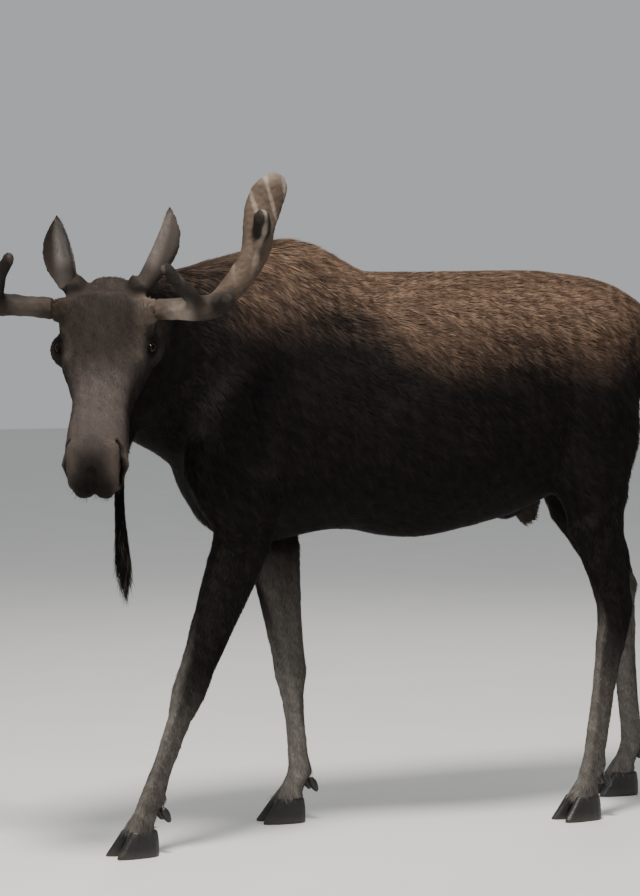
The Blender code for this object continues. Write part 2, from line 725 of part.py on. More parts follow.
def trim_ends(whole):
    """Ends the legs where the hooves begin, and the stubs where the antlers, ears and bell begin."""
    keep_ahead(whole, BELL_ROOT + UP * (CUT / 2), UP, 0.060)
    for leg in FORE_LEGS + HIND_LEGS:
        keep_ahead(whole, coronet_centre(leg) + UP * (CUT / 2), UP, 0.12)
    for s in (1, -1):
        keep_ahead(whole, pedicle_end(s) - HEAD_LEFT * (s * CUT / 2), -HEAD_LEFT * s, 0.048)
        keep_ahead(whole, ear_root(s) - ear_seat(s) * (CUT / 2), -ear_seat(s), 0.060)


def seeds():
    """A place near the middle of each piece of flesh, by the piece's name."""
    found = {
        "trunk": Vector((0, 0.35, 1.30)),
        "neck": Vector((0.04, -0.53, 1.45)),
        "head": in_head(0.33, 0, -0.11),
        "tail": Vector((0, 1.185, 1.51)),
    }
    for leg in FORE_LEGS + HIND_LEGS:
        found[f"leg_{leg.name}_upper"] = mix(Vector(leg.elbow), Vector(leg.knee), 0.5)
        found[f"leg_{leg.name}_lower"] = mix(Vector(leg.knee), Vector(leg.fetlock), 0.6)
    return found


def cut_apart(whole, points, faces):
    """Parts the flesh with one sheet. Should a piece be lost, the sheet moves a hair and cuts again."""
    before, count = whole.data, len(loose_parts(whole))
    for tries in range(CUT_TRIES):
        whole.data = before.copy()
        nudged = [p + CUT_NUDGE * tries for p in points]
        boolean(whole, facing_out("cut", nudged, faces), "DIFFERENCE")
        if len(loose_parts(whole)) == count + 1:
            return
    raise ValueError("a cut did not part the flesh in two")


def part_flesh(whole, finish):
    """Cuts the whole body, and makes an object of each named piece."""
    trim_ends(whole)
    for cut in parting_cuts():
        cut_apart(whole, *cut)
    pieces = loose_parts(whole)
    middles = [sum(p, Vector()) / len(p) for p, _ in pieces]
    made = {}
    for name, seed in seeds().items():
        best = min(range(len(pieces)), key=lambda i: (middles[i] - seed).length)
        made[name] = object_of(name, *pieces[best], finish)
    remove(whole)
    return made


# ---------------------------------------------------------------- bell, ears and eyes


def bell(finish):
    """The bell: a thin rope of skin under the throat that ends in a brush of hair."""
    rings = (
        Ring((0.178, -0.726, 1.240), 0.036, 0.036, 0.036),
        Ring((0.184, -0.732, 1.160), 0.025, 0.024, 0.024),
        Ring((0.190, -0.735, 1.070), 0.021, 0.020, 0.020),
        Ring((0.194, -0.733, 0.980), 0.023, 0.022, 0.022),
        Ring((0.197, -0.728, 0.900), 0.028, 0.026, 0.026),
        Ring((0.200, -0.722, 0.845), 0.026, 0.023, 0.023),
        Ring((0.201, -0.720, 0.806), 0.010, 0.009, 0.009),
    )
    made = facing_out("bell", *tube(rings, X_AXIS, 2, 10), finish)
    keep_ahead(made, BELL_ROOT - UP * (CUT / 2 + GAP), -UP, 0.100)


def ear_root(s):
    nose, side, crown = EAR_PLACE[s]
    return in_head(nose, s * side, crown)


def ear_seat(s):
    """The way the plane faces in which an ear meets the head."""
    return (UP + HEAD_LEFT * (s * 0.9)).normalized()


def ear_leaf(t, root):
    """An ear's width along its length, as a share of the widest; root is the share where it meets the head."""
    places = (0.0, 0.17, 0.35, 0.50, 0.70, 0.85, 0.94, 1.0)
    return float(np.interp(t, places, (0.8 * root, root, 0.94, 1.00, 0.84, 0.55, 0.30, 0.09)))


def ear(s, finish):
    """A leaf-shaped shell: the right one opens ahead, the left one is turned back, and leans further out."""
    if s > 0:
        name, lean, length, width, root = "ear_left", 0.112, 0.224, 0.053, 0.80
        opening = HEAD_LEFT * 0.55 - HEAD_AHEAD * 0.85
    else:
        name, lean, length, width, root = "ear_right", 0.047, 0.200, 0.051, 0.58
        opening = HEAD_AHEAD - HEAD_LEFT * 0.20
    depth, wall = width * 0.7, 0.0065
    axis = (UP - HEAD_AHEAD * 0.06).normalized()
    opening = (opening - axis * axis.dot(opening)).normalized()
    across = axis.cross(opening)
    stations = 10
    half_arc = 7  # points along the outer side of the shell
    points = []
    for i in range(stations):
        t = i / (stations - 1)
        leaf = ear_leaf(t, root)
        curl = mix(1.35, 0.85, t)  # how far round the shell wraps, as a share of a half turn
        out = HEAD_LEFT * (s * lean * math.sin(math.pi / 2 * min(1.0, t * 1.15)))
        centre = ear_root(s) + axis * (mix(-EAR_ROOT_DEPTH, length, t)) + out - HEAD_LEFT * (s * lean * 0.3)
        for layer, order in ((0, 1), (wall, -1)):
            for k in range(half_arc)[::order]:
                turn = (k / (half_arc - 1) - 0.5) * math.pi * curl
                thin = layer * (0.55 + 0.45 * math.cos(turn / curl))
                wide = max(width * leaf - thin, 0.0016 if layer else 0.004)
                deep = max(depth * leaf - thin, 0.0012 if layer else 0.004)
                aside, out = across * (math.sin(turn) * wide), opening * ((0.4 - math.cos(turn)) * deep)
                points.append(centre + aside + out)
    shell = facing_out(name, points, tube_faces(stations, 2 * half_arc), finish)
    keep_ahead(shell, ear_root(s) + ear_seat(s) * (CUT / 2 + GAP), ear_seat(s), 0.1)


def eye(s, finish):
    """The eyeball."""
    ball = bmesh.new()
    centre = in_head(EYE_PLACE[0], s * EYE_PLACE[1], EYE_PLACE[2])
    place = Matrix.Translation(centre)
    bmesh.ops.create_uvsphere(ball, u_segments=12, v_segments=8, radius=EYE_RADIUS, matrix=place)
    made = object_of("eye_left" if s > 0 else "eye_right", [], [], finish)
    ball.to_mesh(made.data)
    ball.free()
    return made


def carve_socket(head, ball):
    """Takes the eyeball, grown by the gap, out of the head."""
    cutter = ball.copy()
    cutter.data = ball.data.copy()
    bpy.context.scene.collection.objects.link(cutter)
    middle = mean(v.co for v in cutter.data.vertices)
    grow = 1 + 2 * GAP / EYE_RADIUS
    for v in cutter.data.vertices:
        v.co = middle + (v.co - middle) * grow
    boolean(head, cutter, "DIFFERENCE")


# ---------------------------------------------------------------- antlers


class Tine(NamedTuple):
    """A branch of an antler: stations of (outwards, ahead, up, half width, half thickness)."""

    name: str
    stations: tuple


LEFT_ANTLER = (
    Tine("beam", (
        (-0.030, 0.000, 0.000, 0.035, 0.035),
        (0.085, 0.008, 0.002, 0.034, 0.033), (0.160, 0.020, 0.000, 0.038, 0.036),
        (0.215, 0.010, 0.020, 0.038, 0.036),
    )),
    Tine("brow", (
        (0.165, 0.020, 0.000, 0.032, 0.030),
        (0.136, 0.075, 0.038, 0.025, 0.024), (0.100, 0.115, 0.083, 0.023, 0.022),
        (0.073, 0.138, 0.120, 0.021, 0.020), (0.066, 0.144, 0.131, 0.009, 0.009),
    )),
    Tine("spur", (
        (0.205, 0.010, 0.012, 0.034, 0.032),
        (0.232, 0.055, 0.018, 0.027, 0.026), (0.245, 0.088, 0.028, 0.024, 0.023),
        (0.247, 0.100, 0.031, 0.010, 0.010),
    )),
    Tine("palm", (
        (0.200, 0.005, 0.015, 0.036, 0.034),
        (0.258, -0.030, 0.085, 0.038, 0.034), (0.300, -0.060, 0.160, 0.044, 0.032),
        (0.309, -0.085, 0.240, 0.051, 0.030),
        (0.324, -0.103, 0.315, 0.057, 0.027), (0.352, -0.116, 0.364, 0.046, 0.023),
        (0.370, -0.122, 0.392, 0.018, 0.010),
    )),
    Tine("fork", (
        (0.318, -0.070, 0.205, 0.032, 0.028),
        (0.328, -0.020, 0.238, 0.029, 0.028), (0.332, 0.020, 0.268, 0.027, 0.026),
        (0.332, 0.034, 0.278, 0.011, 0.011),
    )),
)
# The right antler is its like, but no mirror image: the brow tine stands further out and higher.
RIGHT_ANTLER = (
    Tine("beam", (
        (-0.030, 0.000, 0.000, 0.036, 0.036),
        (0.095, 0.000, 0.010, 0.033, 0.032), (0.180, 0.008, 0.014, 0.037, 0.035),
        (0.235, 0.002, 0.028, 0.038, 0.036),
    )),
    Tine("brow", (
        (0.190, 0.008, 0.010, 0.032, 0.030),
        (0.178, 0.060, 0.060, 0.025, 0.024), (0.152, 0.092, 0.112, 0.023, 0.022),
        (0.128, 0.110, 0.150, 0.021, 0.020), (0.120, 0.115, 0.162, 0.009, 0.009),
    )),
    Tine("spur", (
        (0.225, 0.002, 0.020, 0.034, 0.032),
        (0.258, 0.045, 0.030, 0.027, 0.026), (0.275, 0.078, 0.045, 0.024, 0.023),
        (0.279, 0.090, 0.050, 0.010, 0.010),
    )),
    Tine("palm", (
        (0.220, -0.003, 0.022, 0.036, 0.034),
        (0.278, -0.035, 0.092, 0.038, 0.034), (0.318, -0.062, 0.168, 0.043, 0.032),
        (0.328, -0.086, 0.245, 0.054, 0.030),
        (0.342, -0.104, 0.318, 0.062, 0.027), (0.362, -0.116, 0.370, 0.052, 0.023),
        (0.374, -0.122, 0.396, 0.022, 0.010),
    )),
    Tine("fork", (
        (0.338, -0.070, 0.210, 0.032, 0.028),
        (0.348, -0.022, 0.246, 0.029, 0.028), (0.352, 0.014, 0.280, 0.027, 0.026),
        (0.352, 0.028, 0.290, 0.011, 0.011),
    )),
)
ANTLER_VOXEL = 0.006
ANTLER_FACES = 560
# Where each branch is cut, along its length
FORK_CUTS = {"brow": 0.30, "spur": 0.34, "palm": 0.16, "fork": 0.26}


def pedicle_end(s):
    return in_head(PEDICLE_PLACE[0], s * PEDICLE_PLACE[1], PEDICLE_PLACE[2])


def antler_point(s, out, ahead, up):
    """A place on an antler, from the end of its pedicle: outwards, ahead of the face and straight up."""
    return pedicle_end(s) + HEAD_LEFT * (s * (out - 0.022)) + HEAD_AHEAD * ahead + UP * up


def antler(s, tines, finish):
    """Fuses an antler's branches and parts them again at the forks."""
    side = "left" if s > 0 else "right"
    shapes, cuts, ends = [], [], {}
    for tine in tines:
        rings = [Ring(tuple(antler_point(s, *row[:3])), row[3], row[4], row[4]) for row in tine.stations]
        across = HEAD_AHEAD if tine.name != "palm" else (HEAD_AHEAD * 0.35 - HEAD_LEFT * s + UP * 0.3)
        shapes.append(tube(rings, across, 4, 18))
        places = smooth_path([r.at for r in rings], 10)
        ends[tine.name] = Vector(places[len(places) * 2 // 3])
        if tine.name in FORK_CUTS:
            i = round(FORK_CUTS[tine.name] * (len(places) - 1))
            along = Vector(places[i + 1] - places[i])
            upright = abs(along.normalized().z) > 0.7
            cuts.append(slab(places[i], along, 0.125, 0.125, HEAD_AHEAD if upright else UP))
    ends["beam"] = antler_point(s, 0.10, 0, 0)
    whole = fused(f"antler_{side}", shapes, ANTLER_VOXEL)
    relax(whole.data, 5, lambda place: np.ones(len(place)))
    step = whole.modifiers.new("thin", "DECIMATE")
    step.ratio = ANTLER_FACES / (2 * len(whole.data.polygons))
    apply_modifiers(whole)
    keep_ahead(whole, pedicle_end(s) + HEAD_LEFT * (s * (GAP + CUT / 2)), HEAD_LEFT * s, 0.1)
    for cut in cuts:
        boolean(whole, facing_out("fork_cut", *cut), "DIFFERENCE")
    pieces = loose_parts(whole)
    middles = [sum(p, Vector()) / len(p) for p, _ in pieces]
    for name, place in ends.items():
        best = min(range(len(pieces)), key=lambda i: (middles[i] - place).length)
        object_of(f"antler_{side}_{name}", *pieces[best], finish)
    remove(whole)


# ---------------------------------------------------------------- hooves


def toe_direction(leg):
    turn = math.radians(leg.toe_out)
    return Vector((math.sin(turn), -math.cos(turn), 0))


def coronet_centre(leg):
    """The middle of the pastern where the horn begins: ahead of the fetlock, at the coronet's height."""
    fetlock = Vector(leg.fetlock)
    return Vector((fetlock.x, fetlock.y, CORONET_HEIGHT)) + toe_direction(leg) * 0.040


def claw(leg, inner, finish):
    """One of a hoof's two claws: a long pointed shell of horn, flat underneath."""
    part = "inner" if inner else "outer"
    out = -leg.side if inner else leg.side
    toe = toe_direction(leg)
    beside = Vector((-toe.y, toe.x, 0))
    beside *= math.copysign(1, beside.x * out)
    toe = (toe + beside * math.tan(HOOF_SPLAY)).normalized()
    beside = (beside - toe * toe.dot(beside)).normalized()
    middle = coronet_centre(leg)
    # height, heel and toe reach from the coronet's middle, inner and outer reach to the side
    levels = (
        (CORONET_HEIGHT - CUT / 2 - GAP, 0.046, 0.044, 0.0015, 0.046),
        (0.045, 0.050, 0.067, 0.0015, 0.051),
        (0.004, 0.049, 0.098, 0.0015, HOOF_WIDTH),
        (0.000, 0.046, 0.095, 0.0030, HOOF_WIDTH - 0.003),
    )
    sides = 12
    points = []
    for height, heel, tip, near, far in levels:
        centre = Vector((middle.x, middle.y, height))
        for k in range(sides):
            turn = 2 * math.pi * k / sides
            c, s = math.cos(turn), math.sin(turn)
            reach = tip if c > 0 else heel
            lean = abs(s) ** 1.15 if c > 0 else abs(s) ** 0.8
            along = math.copysign(abs(c) ** 0.9, c) * reach
            wide = (near + far) / 2 + math.copysign(lean, s) * (far - near) / 2
            points.append(centre + toe * along + beside * wide)
    return facing_out(f"hoof_{leg.name}_{part}", points, tube_faces(len(levels), sides), finish)


def dewclaw(leg, inner, lower_leg, finish):
    """A small blunt claw behind the pastern, set into the skin, which is carved out to take it."""
    part = "inner" if inner else "outer"
    out = -leg.side if inner else leg.side
    fetlock = Vector(leg.fetlock)
    root = fetlock + Vector((out * 0.022, 0.030, -0.028))
    tip = root + Vector((out * 0.006, 0.020, -0.040))

    def cone(grow):
        return muscle(mix(root, tip, -0.25), tip, 0.018 + grow, 0.012 + grow, 0.8, X_AXIS, 8)

    boolean(lower_leg, facing_out("dewclaw_cut", *cone(2 * GAP)), "DIFFERENCE")
    return facing_out(f"dewclaw_{leg.name}_{part}", *cone(0.0), finish)


# ---------------------------------------------------------------- the whole animal


def centre_on_floor():
    """Moves everything so that the origin is on the floor under the middle of the box."""
    bpy.context.view_layer.update()
    shown = [o for o in bpy.context.scene.objects if not o.hide_render]
    corners = np.vstack([coordinates(o.data) for o in shown])
    low, high = corners.min(axis=0), corners.max(axis=0)
    shift = Vector((-(low[0] + high[0]) / 2, -(low[1] + high[1]) / 2, -low[2]))
    for o in shown:
        o.data.transform(Matrix.Translation(shift))


def main():
    for old in list(bpy.data.objects):
        bpy.data.objects.remove(old)
    hide = material("coat", (0.045, 0.032, 0.025), 0.8)
    velvet = material("velvet", (0.20, 0.14, 0.10), 0.9)
    horn = material("hoof_horn", (0.020, 0.018, 0.017), 0.5)
    glassy = material("eye", (0.015, 0.008, 0.005), 0.1)

    bell(hide)
    shapes = trunk_shapes() + neck_shapes() + head_shapes() + tail_shapes()
    for leg in FORE_LEGS:
        shapes += shoulder_shapes(leg) + fore_shapes(leg)
    for leg in HIND_LEGS:
        shapes += hind_shapes(leg)
    whole = fused("flesh", shapes, VOXEL)
    relax(whole.data, RELAX_ROUNDS, relax_share)
    sculpt_head(whole.data)
    decimated(whole, FLESH_FACES)
    flesh = part_flesh(whole, hide)

    for s in (1, -1):
        carve_socket(flesh["head"], eye(s, glassy))
        ear(s, hide)
    antler(1, LEFT_ANTLER, velvet)
    antler(-1, RIGHT_ANTLER, velvet)
    for leg in FORE_LEGS + HIND_LEGS:
        for inner in (True, False):
            claw(leg, inner, horn)
            dewclaw(leg, inner, flesh[f"leg_{leg.name}_lower"], horn)
    centre_on_floor()


main()
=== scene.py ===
"""Looks of the life-size young bull moose: one skin with its coat, eyes, velvet antlers and hooves.

Metres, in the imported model's frame: the animal faces -Y, its left is +X and +Z is up.
"""

import math
from typing import NamedTuple

import bmesh
import bpy
import numpy as np
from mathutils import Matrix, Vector
from mathutils.bvhtree import BVHTree


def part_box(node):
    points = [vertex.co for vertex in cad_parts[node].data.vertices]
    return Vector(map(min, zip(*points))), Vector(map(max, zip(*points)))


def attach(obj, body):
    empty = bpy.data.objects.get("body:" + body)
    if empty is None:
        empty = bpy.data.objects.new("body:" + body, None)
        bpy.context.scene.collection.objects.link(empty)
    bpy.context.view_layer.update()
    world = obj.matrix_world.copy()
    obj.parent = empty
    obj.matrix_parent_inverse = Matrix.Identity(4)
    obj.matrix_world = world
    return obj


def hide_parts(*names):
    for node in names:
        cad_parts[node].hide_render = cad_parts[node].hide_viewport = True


random = np.random.default_rng(1835)

LEGS = [f"{end}_{side}" for end in ("front", "hind") for side in ("left", "right")]
FLESH = [
    "trunk", "neck", "head", "bell", "tail", "ear_left", "ear_right",
    *(f"leg_{leg}_{part}" for leg in LEGS for part in ("upper", "lower")),
]

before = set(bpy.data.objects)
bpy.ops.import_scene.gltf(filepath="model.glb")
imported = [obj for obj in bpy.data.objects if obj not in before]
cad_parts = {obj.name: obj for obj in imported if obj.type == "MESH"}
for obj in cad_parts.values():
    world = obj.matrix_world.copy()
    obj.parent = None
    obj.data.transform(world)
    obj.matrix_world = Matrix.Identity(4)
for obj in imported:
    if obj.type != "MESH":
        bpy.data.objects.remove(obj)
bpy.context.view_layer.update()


def unit(rows):
    """Each row at length one."""
    rows = np.asarray(rows, float)
    return rows / np.maximum(np.linalg.norm(rows, axis=-1, keepdims=True), 1e-12)


def lengths(rows):
    return np.linalg.norm(rows, axis=1)


def ramp(value, start, end):
    """From 0 at start to 1 at end, eased at both."""
    t = np.clip((value - start) / (end - start), 0, 1)
    return t * t * (3 - 2 * t)


def flattened(way, normal, share=1.0):
    """Each way less its share along the normal, at length one."""
    return unit(way - normal * np.sum(way * normal, axis=1)[:, None] * share)


def middle(node):
    low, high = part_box(node)
    return (np.array(low) + np.array(high)) / 2


# ---------------------------------------------------------------- head frame

UP = np.array([0.0, 0.0, 1.0])
HEAD_DROP = math.radians(62.0)  # of the nose below the level
EYE_ALONG = 0.196  # from the poll to the eyes, along the nose
EYE_BELOW = 0.078  # from the poll's level down to the eyes, across the face
EYE = {1: middle("eye_left"), -1: middle("eye_right")}
LEFT = unit(EYE[1] - EYE[-1])
AHEAD = np.array([LEFT[1], -LEFT[0], 0.0])
NOSE = AHEAD * math.cos(HEAD_DROP) - UP * math.sin(HEAD_DROP)
CROWN = AHEAD * math.sin(HEAD_DROP) + UP * math.cos(HEAD_DROP)
POLL = (EYE[1] + EYE[-1]) / 2 - NOSE * EYE_ALONG + CROWN * EYE_BELOW
EYE_RADIUS = float(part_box("eye_left")[1][0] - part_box("eye_left")[0][0]) / 2


def in_head(nose, left, crown):
    """A place given along the nose, to the animal's left and towards the crown, from the poll."""
    return POLL + NOSE * nose + LEFT * left + CROWN * crown


def head_places(points):
    """The same three distances, for each point."""
    offset = points - POLL
    return np.stack([offset @ NOSE, offset @ LEFT, offset @ CROWN], axis=1)


# ---------------------------------------------------------------- mesh helpers


def form_of(mesh):
    """The mesh in a form that can be edited."""
    form = bmesh.new()
    form.from_mesh(mesh)
    form.verts.ensure_lookup_table()
    return form


def put_back(form, mesh):
    form.to_mesh(mesh)
    form.free()


def faces_of(form, start=0):
    return [[start + v.index for v in f.verts] for f in form.faces]


def node_arrays(names, grow=0.0):
    """Vertices and faces of several nodes, welded, each grown a little along its normals."""
    points, faces, owners = [], [], []
    for owner, name in enumerate(names):
        form = form_of(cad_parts[name].data)
        bmesh.ops.remove_doubles(form, verts=form.verts, dist=1e-5)
        bmesh.ops.recalc_face_normals(form, faces=form.faces)
        form.normal_update()
        faces += faces_of(form, len(points))
        points += [v.co + v.normal * grow for v in form.verts]
        owners += [owner] * len(form.faces)
        form.free()
    return points, faces, np.array(owners)


def ball_arrays(centre, radius, round_it=24, down_it=12):
    form = bmesh.new()
    bmesh.ops.create_uvsphere(form, u_segments=round_it, v_segments=down_it, radius=radius)
    points = [v.co + Vector(centre) for v in form.verts]
    faces = sorted(faces_of(form))  # Blender's own order differs from run to run
    form.free()
    return points, faces


def joined(*parts):
    points, faces = [], []
    for some_points, some_faces in parts:
        start = len(points)
        points += some_points
        faces += [[start + i for i in face] for face in some_faces]
    return points, faces


def object_of(name, points, faces):
    mesh = bpy.data.meshes.new(name)
    mesh.from_pydata([tuple(p) for p in points], [], [tuple(f) for f in faces])
    mesh.shade_smooth()
    return placed(name, mesh)


def placed(name, data):
    """A new object in the scene."""
    made = bpy.data.objects.new(name, data)
    bpy.context.scene.collection.objects.link(made)
    return made


def applied(obj):
    """Replaces an object's mesh by the one its modifiers give."""
    shown = obj.evaluated_get(bpy.context.evaluated_depsgraph_get())
    mesh = bpy.data.meshes.new_from_object(shown)
    obj.modifiers.clear()
    old = obj.data
    obj.data = mesh
    bpy.data.meshes.remove(old)
    obj.data.shade_smooth()
    return obj


def dress(made, finish):
    """Gives an object its only finish."""
    made.data.materials.clear()
    made.data.materials.append(finish)


def remeshed(name, points, faces, voxel):
    """One closed surface round each group of overlapping closed shapes."""
    made = object_of(name, points, faces)
    step = made.modifiers.new("fuse", "REMESH")
    step.mode = "VOXEL"
    step.voxel_size = voxel
    return applied(made)


def keep_largest(obj):
    """Drops all but the largest connected surface, such as bubbles inside it."""
    edges = edges_of(obj.data)
    label = np.arange(len(obj.data.vertices))
    while True:
        low = np.minimum(label[edges[:, 0]], label[edges[:, 1]])
        new = label.copy()
        np.minimum.at(new, edges[:, 0], low)
        np.minimum.at(new, edges[:, 1], low)
        new = new[new]
        if (new == label).all():
            break
        label = new
    lost = set(np.nonzero(label != np.bincount(label).argmax())[0].tolist())
    if lost:
        form = form_of(obj.data)
        bmesh.ops.delete(form, geom=[form.verts[i] for i in lost], context="VERTS")
        put_back(form, obj.data)
    return obj


def read(items, key, width, kind=np.float32):
    """A property of each item, in rows."""
    flat = np.empty(len(items) * width, kind)
    items.foreach_get(key, flat)
    return flat.reshape(-1, width)


def points_of(mesh):
    return read(mesh.vertices, "co", 3).astype(float)


def normals_of(mesh):
    return read(mesh.vertex_normals, "vector", 3).astype(float)


def move_to(mesh, points):
    mesh.vertices.foreach_set("co", points.astype(np.float32).ravel())
    mesh.update()


def edges_of(mesh):
    return read(mesh.edges, "vertices", 2, np.int32)


def triangles_of(mesh):
    mesh.calc_loop_triangles()
    return read(mesh.loop_triangles, "vertices", 3, np.int32)


def relaxed(values, edges, share, rounds):
    """Moves each row towards the mean of its neighbours, by its share, again and again."""
    first, second = edges[:, 0], edges[:, 1]
    count = len(values)
    neighbours = np.maximum(np.bincount(edges.ravel(), minlength=count), 1)
    share = np.broadcast_to(np.asarray(share, float), (count,))
    values = values.copy()
    for _ in range(rounds):
        for column in range(values.shape[1]):
            row = values[:, column]
            total = np.bincount(first, row[second], count) + np.bincount(second, row[first], count)
            values[:, column] = row + share * (total / neighbours - row)
    return values


def distance_to_path(points, path):
    """How far each point is from a chain of straight spans."""
    path = [np.asarray(p, float) for p in path]
    nearest = np.full(len(points), np.inf)
    for start, end in zip(path, path[1:]):
        span = end - start
        along = np.clip((points - start) @ span / max(span @ span, 1e-12), 0, 1)
        nearest = np.minimum(nearest, lengths(points - start - along[:, None] * span))
    return nearest


def gap(points, places):
    """How far each point is from the nearest of some places."""
    return np.minimum.reduce([lengths(points - place) for place in places])


def nearest_faces(tree, points):
    return np.array([tree.find_nearest(Vector(p))[2] for p in points])


def attribute_of(mesh, name):
    """One number for each vertex."""
    return read(mesh.attributes[name].data, "value", 1)[:, 0].astype(float)


def set_attribute(mesh, name, kind, values, key="value"):
    layer = mesh.attributes.new(name, kind, "POINT")
    layer.data.foreach_set(key, np.ascontiguousarray(values, np.float32).ravel())


def paint(mesh, colours):
    """Stores the linear colour of each vertex."""
    set_attribute(mesh, "Coat", "FLOAT_COLOR", np.c_[colours, np.ones(len(colours))], "color")


# ---------------------------------------------------------------- regions of the body


class Coat(NamedTuple):
    """A region's coat: how deep it lies over the skin, and its tufts."""

    depth: float
    length: float
    width: float
    per_square_metre: float
    lift: float  # of a tuft's tip, as a share of the depth


COATS = {
    "trunk": Coat(0.0085, 0.034, 0.0028, 54000, 0.75),
    "neck": Coat(0.0090, 0.038, 0.0028, 62000, 0.80),
    "head": Coat(0.0030, 0.011, 0.0015, 120000, 0.90),
    "bell": Coat(0.0060, 0.012, 0.0014, 200000, 0.60),
    "tail": Coat(0.0060, 0.040, 0.0028, 90000, 1.00),
    "ear": Coat(0.0030, 0.010, 0.0013, 170000, 0.80),
    "upper": Coat(0.0050, 0.021, 0.0023, 68000, 0.75),
    "lower": Coat(0.0035, 0.014, 0.0021, 92000, 0.85),
}
REGIONS = list(COATS)


def region_of(node):
    for word in ("upper", "lower", "ear"):
        if word in node:
            return REGIONS.index(word)
    return REGIONS.index(node)


flesh_points, flesh_faces, flesh_owner = node_arrays(FLESH)
flesh_tree = BVHTree.FromPolygons(flesh_points, flesh_faces)
face_region = np.array([region_of(FLESH[owner]) for owner in flesh_owner])


def region_shares(mesh, blend_rounds):
    """For each vertex, how far it belongs to each region; the shares run into each other at the borders."""
    region = face_region[nearest_faces(flesh_tree, points_of(mesh))]
    shares = np.eye(len(REGIONS))[region]
    return relaxed(shares, edges_of(mesh), 0.9, blend_rounds)


def by_region(shares, column):
    """A coat value for each vertex, mixed from its regions."""
    return shares @ np.array([getattr(COATS[name], column) for name in REGIONS])


def share_of(shares, region):
    return shares[:, REGIONS.index(region)]


# ---------------------------------------------------------------- skin

BODY_MIDDLE = float(middle("trunk")[0])
SHEATH = (0.620, 0.715)  # from and to, along the body
SKIN_VOXEL = 0.004
NODE_GROWTH = 0.0006  # closes the thin cuts between the nodes
EAR_GROWTH = 0.0030  # keeps the ears' thin rims whole
SKIN_SMOOTHING = {  # spread of the smoothing in metres
    "trunk": 0.026, "neck": 0.020, "head": 0.0075, "bell": 0.008, "tail": 0.008, "ear": 0.007,
    "upper": 0.014, "lower": 0.0075,
}
SMOOTHING_ROUNDS = 100


def fused_flesh():
    """All flesh nodes in one surface, its eye sockets filled."""
    body = node_arrays([node for node in FLESH if not node.startswith("ear")], NODE_GROWTH)[:2]
    ears = node_arrays(["ear_left", "ear_right"], EAR_GROWTH)[:2]
    sockets = [ball_arrays(EYE[s], EYE_RADIUS * 0.98) for s in EYE]
    return keep_largest(remeshed("skin", *joined(body, ears, *sockets), SKIN_VOXEL))


def smoothed(mesh, shares):
    spread = shares @ np.array([SKIN_SMOOTHING[name] for name in REGIONS])
    share = 2 * (spread / SKIN_VOXEL) ** 2 / SMOOTHING_ROUNDS
    move_to(mesh, relaxed(points_of(mesh), edges_of(mesh), np.minimum(share, 0.95), SMOOTHING_ROUNDS))


def subdivided(obj, chosen):
    """Cuts the edges between chosen vertices in two."""
    form = form_of(obj.data)
    edges = [e for e in form.edges if chosen[e.verts[0].index] and chosen[e.verts[1].index]]
    bmesh.ops.subdivide_edges(form, edges=edges, cuts=1, use_grid_fill=True)
    bmesh.ops.triangulate(form, faces=[f for f in form.faces if len(f.verts) > 4])
    put_back(form, obj.data)


def stroke(mesh, path, radius, height, towards=None):
    """Raises the skin along a path, or presses it in where height is below zero."""
    points = points_of(mesh)
    near = distance_to_path(points, path)
    weight = np.clip(1 - (near / radius) ** 2, 0, 1) ** 2
    direction = normals_of(mesh) if towards is None else unit(towards)
    move_to(mesh, points + direction * (weight * height)[:, None])


def soften(mesh, weight, rounds):
    """Smooths the skin where weight is above zero."""
    points, edges = points_of(mesh), edges_of(mesh)
    near = weight > 0
    edges = edges[near[edges].any(axis=1)]
    used, flat = np.unique(edges, return_inverse=True)
    points[used] = relaxed(points[used], flat.reshape(-1, 2), 0.9 * weight[used], rounds)
    move_to(mesh, points)


# the eye's opening
LID_THICKNESS = 0.0028
OPENING_LENGTH = 0.0178  # half of it, from the corner to the middle
OPENING_HEIGHT = 0.0128  # half of it
LID_POINTEDNESS = 1.7
LID_REACH = 2.3  # where the lids have run out into the face, as a share of the opening


def eye_axes(s):
    """Where an eye looks, the line through its corners towards the nose, and the way to its upper lid."""
    gaze = unit(LEFT * s * 0.60 + CROWN * 0.76 + NOSE * 0.20)
    corner = NOSE - CROWN * 0.22
    corner = unit(corner - gaze * (corner @ gaze))
    upper = np.cross(gaze, corner)
    return gaze, corner, unit(upper * np.sign(upper @ CROWN))


def opening_measure(points, s):
    """Below one inside an eye's opening, and above it on the lids."""
    gaze, corner, upper = eye_axes(s)
    ray = unit(points - EYE[s])
    angle = np.arccos(np.clip(ray @ gaze, -1, 1))
    reach = angle / np.maximum(np.sin(angle), 1e-6) * EYE_RADIUS
    across = np.abs(ray @ corner) * reach / OPENING_LENGTH
    along = np.abs(ray @ upper) * reach / OPENING_HEIGHT
    return (across ** LID_POINTEDNESS + along ** LID_POINTEDNESS) ** (1 / LID_POINTEDNESS)


ORBIT_RADIUS = 0.078  # where the mound round an eye would reach down to the eye's middle
ORBIT_HEIGHT = 0.0225  # of the mound over the eye's middle
ORBIT_REACH = 0.062


def raise_orbit(mesh, s):
    """Fills the face out round an eye, so that the ball lies in it rather than on it."""
    points = points_of(mesh)
    out = unit(LEFT * s * 0.72 + CROWN * 0.62 + NOSE * 0.14)
    offset = points - EYE[s]
    height = offset @ out
    aside = lengths(offset - height[:, None] * out)
    wanted = ORBIT_HEIGHT * (1 - (aside / ORBIT_RADIUS) ** 2)
    weight = ramp(aside, ORBIT_REACH, 0.6 * ORBIT_REACH) * (height > -0.03)
    rise = np.maximum(wanted - height, 0) * weight
    move_to(mesh, points + out * rise[:, None])


